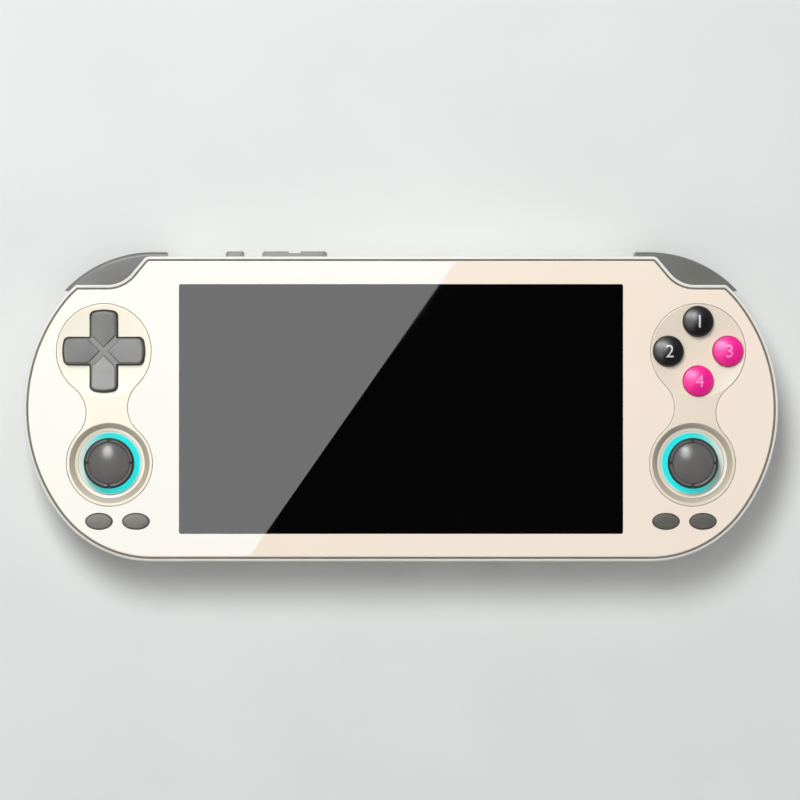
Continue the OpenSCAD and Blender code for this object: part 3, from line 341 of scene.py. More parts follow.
def tidied(points, nearest=1e-3):
    # Drops points that repeat their neighbour
    kept = []
    for p in points:
        if not kept or math.dist(p, kept[-1]) > nearest:
            kept.append(p)
    if math.dist(kept[0], kept[-1]) <= nearest:
        kept.pop()
    return kept


def insetLoop(points, depth, sharpest=0.4):
    # Moves every point to the left of the walk, that is inwards, with a limit at sharp corners
    out = []
    for i, p in enumerate(points):
        a, b = points[i - 1], points[(i + 1) % len(points)]
        u = Vector((p[0] - a[0], p[1] - a[1])).normalized()
        v = Vector((b[0] - p[0], b[1] - p[1])).normalized()
        n = Vector((-u.y - v.y, u.x + v.x)).normalized()
        stretch = 1 / max(sharpest, n.dot(Vector((-u.y, u.x))))
        out.append((p[0] + n.x * depth * stretch, p[1] + n.y * depth * stretch))
    return out


def finer(points, step):
    # Puts points on the long straights of a loop
    out = []
    for a, b in zip(points, points[1:] + points[:1]):
        parts = max(1, math.ceil(math.dist(a, b) / step))
        out += [(a[0] + (b[0] - a[0]) * k / parts, a[1] + (b[1] - a[1]) * k / parts) for k in range(parts)]
    return out


def mirrored(points):
    return [(-x, y) for x, y in reversed(points)]


def housingOutline(inset):
    h, n = housing, notch
    seam = math.degrees(math.atan2(h["cornerY"], h["cornerX"] - h["endX"]))
    meet = math.degrees(math.asin((n["floorY"] - inset - h["cornerY"]) / (h["cornerR"] - inset)))
    right = arc(h["cornerX"], -h["cornerY"], h["cornerR"] - inset, -90, -seam, 26)
    right += arc(h["endX"], 0, h["endR"] - inset, -seam, seam, 44)
    right += arc(h["cornerX"], h["cornerY"], h["cornerR"] - inset, seam, meet, 8)
    right += arc(n["footX"], n["floorY"] + n["footR"], n["footR"] + inset, 270, 270 - n["slope"], 14)
    right += arc(n["headX"], h["halfH"] - n["headR"], n["headR"] - inset, 90 - n["slope"], 90, 8)
    return tidied(right + mirrored(right))


def plateOutline(grow):
    # The right plate: two rounds joined by a waist
    a, b = Vector((upper["x"], upper["y"])), Vector((lower["x"], lower["y"]))
    gap = (b - a).length
    along = (b - a) / gap
    across = Vector((-along.y, along.x))
    d = ((upper["r"] + waistR) ** 2 - (lower["r"] + waistR) ** 2 + gap * gap) / (2 * gap)
    h = math.sqrt((upper["r"] + waistR) ** 2 - d * d)
    outer, inner = a + along * d + across * h, a + along * d - across * h

    def bearing(p, q):
        return math.degrees(math.atan2(q.y - p.y, q.x - p.x))

    points = arc(a.x, a.y, upper["r"] + grow, bearing(a, outer), bearing(a, inner) + 360, 72)
    points += arc(inner.x, inner.y, waistR - grow, bearing(inner, a), bearing(inner, b), 20)
    points += arc(b.x, b.y, lower["r"] + grow, bearing(b, inner), bearing(b, outer) + 360, 66)
    points += arc(outer.x, outer.y, waistR - grow, bearing(outer, b) + 360, bearing(outer, a), 20)
    return tidied(points)


def ellipse(cx, cy, w, h, steps=56):
    return [(cx + w / 2 * math.cos(math.tau * i / steps), cy + h / 2 * math.sin(math.tau * i / steps))
            for i in range(steps)]


def boxOutline(w, h, r, steps=5):
    x, y = w / 2 - r, h / 2 - r
    return tidied(arc(x, y, r, 0, 90, steps) + arc(-x, y, r, 90, 180, steps)
                  + arc(-x, -y, r, 180, 270, steps) + arc(x, -y, r, 270, 360, steps))


def tipPoints(half, reach, tipR, bow, steps=7):
    # The rounded end of an arm along +X, its middle standing out a little
    flat = half - tipR
    points = arc(reach - tipR, -flat, tipR, -90, 0, steps) + [(reach, flat * k / 3) for k in range(-2, 3)]
    points += arc(reach - tipR, flat, tipR, 0, 90, steps)
    return [(x - bow * min(1, abs(y) / flat) ** 2 * (x - reach + tipR) / tipR, y) for x, y in points]


def crossOutline(half, reach, tipR, bow, cx=0, cy=0):
    arm = tipPoints(half, reach, tipR, bow) + [(half, half)]
    points = []
    for c, s in quarterTurns:
        points += [(cx + x * c - y * s, cy + x * s + y * c) for x, y in arm]
    return tidied(points)


# Mesh makers

def ringVerts(bm, loop, z):
    return [bm.verts.new((x * mm, y * mm, z * mm)) for x, y in loop]


def joinRings(bm, low, high, slot=0, smooth=True):
    for i in range(len(low)):
        j = (i + 1) % len(low)
        face = bm.faces.new((low[i], low[j], high[j], high[i]))
        face.smooth, face.material_index = smooth, slot


def capFill(bm, rings, slot, up):
    edges = []
    for ring in rings:
        for i in range(len(ring)):
            a, b = ring[i], ring[(i + 1) % len(ring)]
            edges.append(bm.edges.get((a, b)) or bm.edges.new((a, b)))
    made = bmesh.ops.triangle_fill(bm, use_beauty=True, edges=edges, normal=(0, 0, up))
    for face in made["geom"]:
        if isinstance(face, bmesh.types.BMFace):
            face.smooth, face.material_index = False, slot


def fineFill(bm, rings, slot, finest, rounds=5):
    # Fills between rings in a mesh of its own, cut fine enough to bend, then copies it in
    sheet = bmesh.new()
    twins, edges = {}, []
    for ring in rings:
        own = [sheet.verts.new(v.co) for v in ring]
        twins.update(zip(own, ring))
        edges += [sheet.edges.new((own[i - 1], own[i])) for i in range(len(own))]
    bmesh.ops.triangle_fill(sheet, use_beauty=True, edges=edges, normal=(0, 0, 1))
    for _ in range(rounds):
        bmesh.ops.triangulate(sheet, faces=sheet.faces)
        longEdges = [e for e in sheet.edges if len(e.link_faces) == 2 and e.calc_length() > finest * mm]
        if longEdges:
            bmesh.ops.subdivide_edges(sheet, edges=longEdges, cuts=1)
    bmesh.ops.triangulate(sheet, faces=sheet.faces)
    for v in sheet.verts:
        if v not in twins:
            twins[v] = bm.verts.new(v.co)
    for f in sheet.faces:
        face = bm.faces.new([twins[v] for v in f.verts])
        face.smooth, face.material_index = True, slot
    sheet.free()


def edgedSlab(bm, outer, holes, z0, z1, edge, holeEdge, steps, topSlot=0, sideSlot=0,
              window=None, bowl=None):
    # A sheet with holes whose upper edges are rounded over
    tops, bottoms = [], []
    for loop, bevel, inward in [(outer, edge, 1)] + [(hole, holeEdge, -1) for hole in holes]:
        rings = [ringVerts(bm, loop, z0), ringVerts(bm, loop, z1 - bevel)]
        for k in range(1, steps + 1):
            t = math.pi / 2 * k / steps
            rings.append(ringVerts(bm, insetLoop(loop, inward * bevel * (1 - math.cos(t))),
                                   z1 - bevel + bevel * math.sin(t)))
        joinRings(bm, rings[0], rings[1], sideSlot, False)
        for low, high in zip(rings[1:], rings[2:]):
            joinRings(bm, low, high, topSlot)
        bottoms.append(rings[0])
        tops.append(rings[-1])
    if window:
        tops.append(ringVerts(bm, window[0], z1))
        pane = bm.faces.new(tops[-1])
        pane.material_index = window[1]
    if bowl:  # the first hole lies outside it, the others inside
        lip = ringVerts(bm, bowl[0], z1)
        fineFill(bm, [lip] + tops[2:], topSlot, bowl[1])
        tops = tops[:2] + [lip]
    capFill(bm, tops, topSlot, 1)
    capFill(bm, bottoms, sideSlot, -1)


def lathe(bm, profile, cx, cy, segments=96, slot=0, closed=False, shape=None, otherBands=()):
    # Turns a profile of (radius, height) about an upright axis; a radius of 0 gives a pole,
    # and otherBands get the second of the piece's two materials, or the first if slot is 1
    rings = []
    for r, z in profile:
        if r < 1e-6:
            rings.append([bm.verts.new((cx * mm, cy * mm, z * mm))])
            continue
        ring = []
        for i in range(segments):
            t = math.tau * i / segments
            dr, dz = shape(r, z, t) if shape else (0, 0)
            ring.append(bm.verts.new(((cx + (r + dr) * math.cos(t)) * mm,
                                      (cy + (r + dr) * math.sin(t)) * mm, (z + dz) * mm)))
        rings.append(ring)
    pairs = list(zip(rings, rings[1:])) + ([(rings[-1], rings[0])] if closed else [])
    for band, (low, high) in enumerate(pairs):
        for i in range(segments):
            j = (i + 1) % segments
            if len(low) == 1:
                face = bm.faces.new((low[0], high[j], high[i]))
            elif len(high) == 1:
                face = bm.faces.new((low[i], low[j], high[0]))
            else:
                face = bm.faces.new((low[i], low[j], high[j], high[i]))
            face.smooth, face.material_index = True, slot if band not in otherBands else 1 - slot


def finishPiece(bm, name, materials, body, nodes, sharpDeg=32):
    bmesh.ops.recalc_face_normals(bm, faces=bm.faces)
    mesh = bpy.data.meshes.new(name)
    flat = [not face.smooth for face in bm.faces]
    bm.to_mesh(mesh)
    bm.free()
    for each in materials:
        mesh.materials.append(finish[each])
    mesh.set_sharp_from_angle(angle=math.radians(sharpDeg))
    for face, isFlat in zip(mesh.polygons, flat):
        face.use_smooth = not isFlat
    obj = bpy.data.objects.new(name, mesh)
    scene.collection.objects.link(obj)
    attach(obj, body)
    if nodes:
        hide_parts(*nodes)


# Cover glass with its printed border and the dark window

glass = {"screenW": 110.6, "screenH": 62.2, "cornerR": 0.5, "bevel": 0.25, "holeBevel": 0.07,
         "plateGrow": -0.1, "optionW": 6.88, "optionH": 4.2}
bm = bmesh.new()
rightPlate = plateOutline(glass["plateGrow"])
optionHoles = [ellipse(s * x, y, glass["optionW"], glass["optionH"])
               for s in (-1, 1) for x, y in optionSpots]
screen = boxOutline(glass["screenW"], glass["screenH"], glass["cornerR"])
edgedSlab(bm, housingOutline(housing["glassIn"]), [rightPlate, mirrored(rightPlate)] + optionHoles,
          housing["glassZ"], housing["faceZ"], glass["bevel"], glass["holeBevel"], 4,
          sideSlot=2, window=(screen, 1))
finishPiece(bm, "coverGlass", ["creamPrintedGlass", "darkPanelGlass", "groundGlassEdge"],
            "chassis", ["cover_glass"])
print("cover glass made")


# Gasket bead that fills the groove between glass and rim, its colour the groove's painted shade

gasket = {"outer": 0.64, "inner": 1.17, "z0": 14.42, "z1": 15.24, "bevel": 0.05}
bm = bmesh.new()
edgedSlab(bm, housingOutline(gasket["outer"]), [housingOutline(gasket["inner"])],
          gasket["z0"], gasket["z1"], gasket["bevel"], gasket["bevel"], 2)
finishPiece(bm, "grooveGasket", ["gasketPaintedShade"], "chassis", [])
print("gasket made")


# Control plates with their stick wells

plate = {"grow": -0.2, "bevel": 0.16, "holeBevel": 0.08, "wellR": 10.0, "buttonR": 3.87,
         "padHalf": 3.57, "padReach": 10.36, "padTipR": 1.6, "padBow": 0.2,
         "bowlR": 11.5, "bowlDeep": 0.7, "bowlMesh": 0.9, "holeMesh": 0.8, "foot": 0.1}
# The wall of a stick well, then the pale ring at its foot, then back under the plate
wellProfile = [(10.02, 15.3), (9.9, 15.24), (8.94, 14.02), (8.84, 13.9),
               (8.7, 13.82), (8.4, 13.76), (8.02, 13.7), (7.97, 13.64),
               (7.96, 13.02), (9.5, 13.02), (9.5, 14.4), (10.02, 14.4)]
wellFoot = (4, 5, 6, 7)  # bands of the profile in the plate's own cream


def controlPlate(side, name, openings):
    bm = bmesh.new()
    outline = plateOutline(plate["grow"])
    well = arc(lower["x"], lower["y"], plate["wellR"], 0, 360, 96)[:-1]
    bowl = arc(upper["x"], upper["y"], plate["bowlR"], 0, 360, 120)[:-1]
    holes = [well] + [finer(hole, plate["holeMesh"]) for hole in openings]
    if side < 0:
        outline, holes, bowl = mirrored(outline), [mirrored(hole) for hole in holes], mirrored(bowl)
    edgedSlab(bm, outline, holes, housing["glassZ"], housing["faceZ"], plate["bevel"],
              plate["holeBevel"], 3, bowl=(bowl, plate["bowlMesh"]))
    for v in bm.verts:  # a shallow bowl round the controls, which leaves the underside flat
        r = math.hypot(v.co.x / mm - side * upper["x"], v.co.y / mm - upper["y"])
        if r < plate["bowlR"] and v.co.z > (housing["glassZ"] + plate["foot"]) * mm:
            v.co.z -= plate["bowlDeep"] * (1 - (r / plate["bowlR"]) ** 2) * mm
    lathe(bm, wellProfile, side * lower["x"], lower["y"], slot=1, closed=True, otherBands=wellFoot)
    finishPiece(bm, name + "ControlPlate", ["coatedCreamAbs", "greyBeigeWellWall"],
                "chassis", [name + "_control_plate"])


padHole = crossOutline(plate["padHalf"], plate["padReach"], plate["padTipR"], plate["padBow"],
                       upper["x"], upper["y"])
buttonHoles = [arc(upper["x"] + upper["buttonRing"] * dx, upper["y"] + upper["buttonRing"] * dy,
                   plate["buttonR"], 0, 360, 56)[:-1]
               for dx, dy in quarterTurns]
controlPlate(-1, "left", [padHole])
controlPlate(1, "right", buttonHoles)
print("control plates made")


# Direction pad: four dished arms over a cross

pad = {"reach": 9.98, "half": 3.19, "tipR": 1.35, "bow": 0.2, "footZ": 11.2, "lipZ": 12.05, "lip": 1.0,
       "crossIn": 0.05, "grooveHalf": 0.64, "grooveDrop": 0.32, "grooveDraft": 0.1, "tipDraft": 0.5,
       "heartZ": 16.3, "dishR": 52, "bevel": 0.3, "draft": 0.22, "wallDrop": 1.5,
       "root": 0.6, "wallRoot": 0.5, "crownMesh": 0.8}


def padCrown(x, y):
    return pad["heartZ"] + (x * x + y * y) / (2 * pad["dishR"])  # a shallow bowl, lowest in the middle


def armOutline(draft):
    p = pad
    apex = (p["grooveHalf"] + draft * p["grooveDraft"]) * math.sqrt(2)
    reach, half, r = p["reach"] - draft, p["half"] - draft, p["tipR"] - draft * p["tipDraft"]
    shoulder = apex + half
    slant = [(apex + half * k / 5, -half * k / 5) for k in range(6)]
    flank = [(shoulder + (reach - r - shoulder) * k / 4, -half) for k in range(1, 4)]
    under = slant + flank
    return tidied(under + tipPoints(half, reach, r, p["bow"]) + [(x, -y) for x, y in reversed(under)])


def padMesh(cx, cy):
    p = pad
    bm = bmesh.new()
    cross = crossOutline(p["half"] - p["crossIn"], p["reach"] - p["crossIn"], p["tipR"], p["bow"], cx, cy)
    lip = crossOutline(p["half"] + p["lip"], p["reach"] + p["lip"], p["tipR"] + p["lip"], p["bow"],
                       cx, cy)
    grooveZ = p["heartZ"] - p["grooveDrop"]
    wallZ = grooveZ - p["wallRoot"]
    rings = [ringVerts(bm, lip, p["footZ"]), ringVerts(bm, lip, p["lipZ"]),
             ringVerts(bm, cross, p["lipZ"]), ringVerts(bm, cross, grooveZ)]
    for low, high in zip(rings, rings[1:]):
        joinRings(bm, low, high)
    capFill(bm, rings[:1], 0, -1)
    capFill(bm, rings[-1:], 0, 1)
    outline, brow = armOutline(0), armOutline(p["draft"])
    for c, s in quarterTurns:
        arm = bmesh.new()
        stack = [[arm.verts.new((x, y, grooveZ - p["root"])) for x, y in outline],
                 [arm.verts.new((x, y, max(wallZ, padCrown(x, y) - p["wallDrop"]))) for x, y in outline]]
        for k in range(7):
            t = math.pi / 2 * k / 6
            drop = p["bevel"] * (1 - math.sin(t))
            stack.append([arm.verts.new((x, y, padCrown(x, y) - drop))
                          for x, y in insetLoop(brow, p["bevel"] * (1 - math.cos(t)))])
        for low, high in zip(stack, stack[1:]):
            joinRings(arm, low, high)
        capFill(arm, stack[:1], 0, -1)
        capFill(arm, stack[-1:], 0, 1)
        rim = set(stack[-1])
        flank = {v for ring in stack[:-1] for v in ring}
        crown = [f for f in arm.faces if set(f.verts) <= rim]
        for _ in range(4):  # cuts the crown fine enough to follow the bowl
            crown = bmesh.ops.triangulate(arm, faces=crown)["faces"]
            inner = {e for f in crown for e in f.edges
                     if e.calc_length() > p["crownMesh"] and not set(e.verts) <= rim}
            if inner:
                bmesh.ops.subdivide_edges(arm, edges=list(inner), cuts=1)
            crown = [f for f in arm.faces if not flank.intersection(f.verts)]
        for f in crown:
            f.smooth = True
            for v in f.verts:
                v.co.z = padCrown(v.co.x, v.co.y)
        moved = {v: bm.verts.new(((cx + v.co.x * c - v.co.y * s) * mm,
                                  (cy + v.co.x * s + v.co.y * c) * mm, v.co.z * mm)) for v in arm.verts}
        for f in arm.faces:
            face = bm.faces.new([moved[v] for v in f.verts])
            face.smooth = f.smooth
        arm.free()
    return bm


finishPiece(padMesh(-upper["x"], upper["y"]), "directionPad", ["satinGreyAbs"], "pad",
            ["direction_pad"], 40)
print("direction pad made")


# Face buttons: domes with plain numbers

button = {"r": 3.74, "flangeR": 4.65, "flangeZ": (12.05, 12.95), "top": 17.5, "dome": 6.204,
          "shoulder": 0.5, "digit": 3.2, "fontScale": 1.42, "digitX": 0.25,
          "inkLift": 0.012, "inkDeep": 0.06, "inkMesh": 0.45}


def domeZ(r):
    return button["top"] - button["dome"] + math.sqrt(button["dome"] ** 2 - r * r)


def buttonProfile():
    b, f = button, button["shoulder"]
    centreZ = b["top"] - b["dome"]
    filletZ = centreZ + math.sqrt((b["dome"] - f) ** 2 - (b["r"] - f) ** 2)
    tilt = math.degrees(math.atan2(b["r"] - f, filletZ - centreZ))
    points = [(0, b["flangeZ"][0]), (b["flangeR"], b["flangeZ"][0]), (b["flangeR"], b["flangeZ"][1]),
              (b["r"], b["flangeZ"][1])]
    points += arc(b["r"] - f, filletZ, f, 0, 90 - tilt, 7)
    points += arc(0, centreZ, b["dome"], 90 - tilt, 90, 16)[1:-1]
    return points + [(0, b["top"])]


def digitFaces(bm, text, cx, cy, slot):
    curve = bpy.data.curves.new("digit", "FONT")
    curve.body, curve.size = text, button["digit"] * button["fontScale"]
    curve.align_x, curve.align_y = "CENTER", "CENTER"
    curve.fill_mode = "FRONT"
    holder = bpy.data.objects.new("digit", curve)
    scene.collection.objects.link(holder)
    flat = bpy.data.meshes.new_from_object(holder.evaluated_get(bpy.context.evaluated_depsgraph_get()))
    bpy.data.objects.remove(holder)
    bpy.data.curves.remove(curve)
    glyph = bmesh.new()
    glyph.from_mesh(flat)
    bpy.data.meshes.remove(flat)
    bmesh.ops.remove_doubles(glyph, verts=glyph.verts, dist=1e-5)
    # the font's own fill has flat triangles, so only its outline is kept and filled anew
    inside = [e for e in glyph.edges if len(e.link_faces) != 1]
    bmesh.ops.delete(glyph, geom=glyph.faces[:], context="FACES_ONLY")
    bmesh.ops.delete(glyph, geom=inside, context="EDGES")
    bmesh.ops.triangle_fill(glyph, use_beauty=True, use_dissolve=False, edges=glyph.edges[:])
    for _ in range(4):
        bmesh.ops.triangulate(glyph, faces=glyph.faces)
        longEdges = [e for e in glyph.edges if e.calc_length() > button["inkMesh"]]
        if longEdges:
            bmesh.ops.subdivide_edges(glyph, edges=longEdges, cuts=1)
    bmesh.ops.triangulate(glyph, faces=glyph.faces)
    xs, ys = [v.co.x for v in glyph.verts], [v.co.y for v in glyph.verts]
    midX, midY = (min(xs) + max(xs)) / 2, (min(ys) + max(ys)) / 2
    sheets = []
    for lift in (button["inkLift"], -button["inkDeep"]):
        sheet = {}
        for v in glyph.verts:
            x, y = v.co.x - midX + button["digitX"], v.co.y - midY
            z = domeZ(math.hypot(x, y)) + lift
            sheet[v] = bm.verts.new(((cx + x) * mm, (cy + y) * mm, z * mm))
        sheets.append(sheet)
    top, under = sheets
    for f in glyph.faces:
        corners = list(f.verts) if f.normal.z >= 0 else list(reversed(f.verts))
        made = [bm.faces.new([top[v] for v in corners]),
                bm.faces.new([under[v] for v in reversed(corners)])]
        for a, b in zip(corners, corners[1:] + corners[:1]):
            if len(glyph.edges.get((a, b)).link_faces) == 1:
                made.append(bm.faces.new((under[a], under[b], top[b], top[a])))
        for face in made:
            face.smooth, face.material_index = True, slot
    glyph.free()


for name, dx, dy, text, colour, ink, slot in (
        ("top", 0, 1, "1", "blackAcrylic", "paleGreyInk", "black_gloss"),
        ("left", -1, 0, "2", "blackAcrylic", "paleGreyInk", "black_gloss"),
        ("right", 1, 0, "3", "pinkAcrylic", "palePinkInk", "pink_gloss"),
        ("bottom", 0, -1, "4", "pinkAcrylic", "palePinkInk", "pink_gloss")):
    cx, cy = upper["x"] + upper["buttonRing"] * dx, upper["y"] + upper["buttonRing"] * dy
    bm = bmesh.new()
    lathe(bm, buttonProfile(), cx, cy, 80)
    bmesh.ops.recalc_face_normals(bm, faces=bm.faces)
    digitFaces(bm, text, cx, cy, 1)
    finishPiece(bm, name + "Button", [colour, ink], name + "_button", [name + "_button"])
print("face buttons made")


# Oval option buttons

option = {"w": 6.52, "h": 3.84, "foot": (12.05, 12.95), "flange": 0.65, "crown": 15.95, "edge": 0.34,
          "rise": 0.08, "dome": [(0.8, 0.55), (1.3, 0.85)], "domeIn": 1.8}
for index, (cx, cy) in enumerate(sorted((s * x, y) for s in (-1, 1) for x, y in optionSpots), 1):
    o = option
    bm = bmesh.new()
    shoulderZ = o["crown"] - o["rise"]
    levels = [(-o["flange"], o["foot"][0]), (-o["flange"], o["foot"][1]), (0, o["foot"][1]),
              (0, shoulderZ - o["edge"])]
    levels += [(o["edge"] * (1 - math.cos(math.pi / 2 * k / 6)),
                shoulderZ - o["edge"] * (1 - math.sin(math.pi / 2 * k / 6))) for k in range(1, 7)]
    levels += [(inset, shoulderZ + o["rise"] * share) for inset, share in o["dome"]]
    levels += [(o["domeIn"], o["crown"])]
    rings = [ringVerts(bm, ellipse(cx, cy, o["w"] - 2 * d, o["h"] - 2 * d), z) for d, z in levels]
    for low, high in zip(rings, rings[1:]):
        joinRings(bm, low, high)
    bm.faces.new(rings[-1]).smooth = True
    bm.faces.new(list(reversed(rings[0]))).smooth = False
    finishPiece(bm, f"optionButton{index}", ["mattGreyAbs"], f"option_{index}",
                [f"option_button_{index}"], 40)
print("option buttons made")


# Stick caps and their light rings

cap = {"pivotZ": 11.0, "r": 6.32, "under": 16.3, "underR": 0.4, "rimTop": 17.5, "rimR": 5.76,
       "domeEdge": 5.08, "domeRise": 1.24, "domeFoot": 0.24, "domeIn": 0.08,
       "skirtR": 4.7, "skirtT": 0.6, "skirtZ": 2.4, "neckR": 2.8, "boreR": 1.52, "boreTop": 16.82,
       # the tick and groove spans below also set where the painted shade lies
       "tickDeg": 3.6, "tickDeep": 0.42, "tickZ": 0.25, "tickPaintedShadeZ": 0.5, "tickIn": 0.1,
       "rib": 0.05, "ribs": 72, "ribTop": 0.3, "turns": 144, "groovePaintedShade": (-0.1, 0.05),
       # steps of radius and height from the flank, the rim and the foot of the dome
       "flank": [(0, -0.55), (-0.08, -0.4)], "brow": [(0.12, -0.06), (0, 0)],
       "groove": [(0.46, 0), (0.4, -0.02), (0.06, -0.26), (0.04, -0.34), (-0.03, -0.34)]}


def capProfile():
    c = cap
    inner = c["skirtR"] - c["skirtT"]
    points = [(0, c["boreTop"]), (c["boreR"], c["boreTop"])]
    points += arc(0, c["pivotZ"], inner, math.degrees(math.acos(c["boreR"] / inner)),
                  math.degrees(math.asin(c["skirtZ"] / inner)), 8)
    points += arc(0, c["pivotZ"], c["skirtR"], math.degrees(math.asin(c["skirtZ"] / c["skirtR"])),
                  math.degrees(math.acos(c["neckR"] / c["skirtR"])), 8)
    points += [(c["neckR"], c["under"]), (c["r"] - c["underR"], c["under"])]
    points += arc(c["r"] - c["underR"], c["under"] + c["underR"], c["underR"], -90, 0, 5)
    for start, steps in (("r", "flank"), ("rimR", "brow"), ("domeEdge", "groove")):
        points += [(c[start] + dr, c["rimTop"] + dz) for dr, dz in c[steps]]
    base = c["rimTop"] - c["domeFoot"]
    bulge = (c["domeEdge"] ** 2 + c["domeRise"] ** 2) / (2 * c["domeRise"])
    tilt = math.degrees(math.asin((c["domeEdge"] - c["domeIn"]) / bulge))
    points += arc(0, base + c["domeRise"] - bulge, bulge, 90 - tilt, 90, 18)[:-1]
    return tidied(points + [(0, base + c["domeRise"])])


def atTick(r, z, turn):
    off = abs((math.degrees(turn) + 45) % 90 - 45)  # degrees from the nearest of four marks
    return (z > cap["rimTop"] - cap["tickPaintedShadeZ"] and r > cap["domeEdge"] + cap["tickIn"]
            and off < cap["tickDeg"])


def inPaintedShade(a, b):
    # Bands of the profile in the painted-shade rubber: the flank, the rim's slope and the foot of the groove
    c, r = cap, min(a[0], b[0])
    low, high = (c["domeEdge"] + off for off in c["groovePaintedShade"])
    return min(a[1], b[1]) >= c["under"] and (r >= c["rimR"] or low < r < high)


def capShape(r, z, turn):
    # Four sunk ticks on the rim, and ribs round the flank
    c = cap
    tick = atTick(r, z, turn) and z > c["rimTop"] - c["tickZ"]
    ribbed = c["under"] < z < c["rimTop"] - c["ribTop"] and r > c["rimR"]
    return (c["rib"] * math.cos(c["ribs"] * turn) if ribbed else 0, -c["tickDeep"] if tick else 0)


# Flange under the plate, then up the outside, over the pale lip and down to the middle
ringProfile = [(5.45, 12.1), (9.4, 12.1), (9.4, 12.98), (7.92, 12.98), (7.92, 13.56), (7.86, 13.62),
               (7.62, 13.58), (7.12, 13.42), (6.25, 13.27), (5.57, 13.25), (5.45, 13.13)]
for side, name in ((-1, "left"), (1, "right")):
    bm = bmesh.new()
    profile = capProfile()
    dark = [i for i, (a, b) in enumerate(zip(profile, profile[1:])) if inPaintedShade(a, b)]
    lathe(bm, profile, side * lower["x"], lower["y"], cap["turns"], shape=capShape, otherBands=dark)
    # The ticks' faces take the painted-shade rubber as well
    for face in bm.faces:
        middle = face.calc_center_median() / mm - Vector((side * lower["x"], lower["y"], 0))
        if atTick(middle.xy.length, middle.z, math.atan2(middle.y, middle.x)):
            face.material_index = 1
    finishPiece(bm, name + "StickCap", ["softTouchRubber", "paintedShadeRubber"], name + "_stick",
                [name + "_stick_cap"], 38)
    bm = bmesh.new()
    lathe(bm, ringProfile, side * lower["x"], lower["y"], 112, closed=True)
    finishPiece(bm, name + "LightRing", ["edgeLitAcrylic"], "chassis", [name + "_light_ring"])
print("sticks made")


# Floor, light and camera

studio = {"floor": ("#DDDEDC", "#E0E1DF"), "floorHalf": 2500, "floorDrop": 0.02, "floorGrain": 40,
          "floorFar": "#DEDFDD", "floorFade": (250, 900),
          "keyAt": (-200, 420, 860), "keyWide": 400, "keyLong": 640, "keyPower": 7.7,
          "keyFall": (0.1, 1.9), "keyTint": (0.97, 0.99, 1.0),
          "fillAt": (80, -60, 950), "fillSize": 900, "fillPower": 2.55,
          "sky": [(0.0, 0.74), (0.12, 0.68), (0.26, 0.4), (0.4, 0.32), (0.8, 0.1), (0.93, 0.03),
                  (1.0, 0.02)], "skyBlue": 1.01,
          "glareLine": ((13.45, 36.6), (-37.6, -36.5)), "glareHeight": 420, "glareWide": 600,
          "glareLong": 800, "glareRadiance": 3.8,
          "sheenAt": (-450, 420, 465), "sheenSize": 330, "sheenPower": 5.0}
view = {"height": 950, "wide": 199.2, "x": -0.25, "y": 2.24}

floorMesh = bpy.data.meshes.new("floor")
edge = studio["floorHalf"] * mm
corners = [(-edge, -edge, 0), (edge, -edge, 0), (edge, edge, 0), (-edge, edge, 0)]
floorMesh.from_pydata(corners, [], [(0, 1, 2, 3)])
floor = bpy.data.objects.new("floor", floorMesh)
floor.location.z = -studio["floorDrop"] * mm
scene.collection.objects.link(floor)
material, tree, shader, place = newMaterial("paleFloorLino", {"Roughness": 0.75, "IOR": 1.45})
speck = noise(tree, place, studio["floorGrain"], 4.0)
shades = addNode(tree, "ShaderNodeValToRGB", None, {"Fac": speck})
setRamp(shades, [(0.35, tint(studio["floor"][0])), (0.65, tint(studio["floor"][1]))])
tree.links.new(shades.outputs["Color"], shader.inputs["Base Color"])
# Far from the part, what is seen of the floor fades to a plain shade
paths = addNode(tree, "ShaderNodeLightPath")
seen = addNode(tree, "ShaderNodeMath", {"operation": "ADD"},
               {0: paths.outputs["Is Camera Ray"], 1: paths.outputs["Is Glossy Ray"]})
seen = addNode(tree, "ShaderNodeMath", {"operation": "ADD", "use_clamp": True},
               {0: seen.outputs["Value"], 1: paths.outputs["Is Transmission Ray"]})
reach = addNode(tree, "ShaderNodeVectorMath", {"operation": "LENGTH"}, {0: place})
far = addNode(tree, "ShaderNodeMapRange",
              {"interpolation_type": "SMOOTHSTEP", "From Min": studio["floorFade"][0] * mm,
               "From Max": studio["floorFade"][1] * mm}, {"Value": reach.outputs["Value"]})
fade = addNode(tree, "ShaderNodeMath", {"operation": "MULTIPLY"},
               {0: seen.outputs["Value"], 1: far.outputs["Result"]})
plain = addNode(tree, "ShaderNodeEmission", {"Color": tint(studio["floorFar"]), "Strength": 1.0})
both = addNode(tree, "ShaderNodeMixShader", None,
               {0: fade.outputs["Value"], 1: shader.outputs["BSDF"], 2: plain.outputs["Emission"]})
tree.links.new(both.outputs["Shader"], tree.nodes["Material Output"].inputs["Surface"])
floorMesh.materials.append(material)


def areaLamp(name, at, turn, wide, long, power):
    lamp = bpy.data.lights.new(name, "AREA")
    lamp.shape, lamp.size, lamp.size_y, lamp.energy = "RECTANGLE", wide * mm, long * mm, power
    obj = bpy.data.objects.new(name, lamp)
    obj.location = Vector(at) * mm
    obj.rotation_euler = turn
    scene.collection.objects.link(obj)
    obj.visible_camera = False
    return obj


def turnTo(at, aim):
    return (Vector(aim) - Vector(at)).to_track_quat("-Z", "Y").to_euler()


def linkTo(lamp, name, pieces):
    # Lets a lamp shine on these pieces alone
    group = bpy.data.collections.new(name)
    for piece in pieces:
        group.objects.link(bpy.data.objects[piece])
    lamp.light_linking.receiver_collection = group


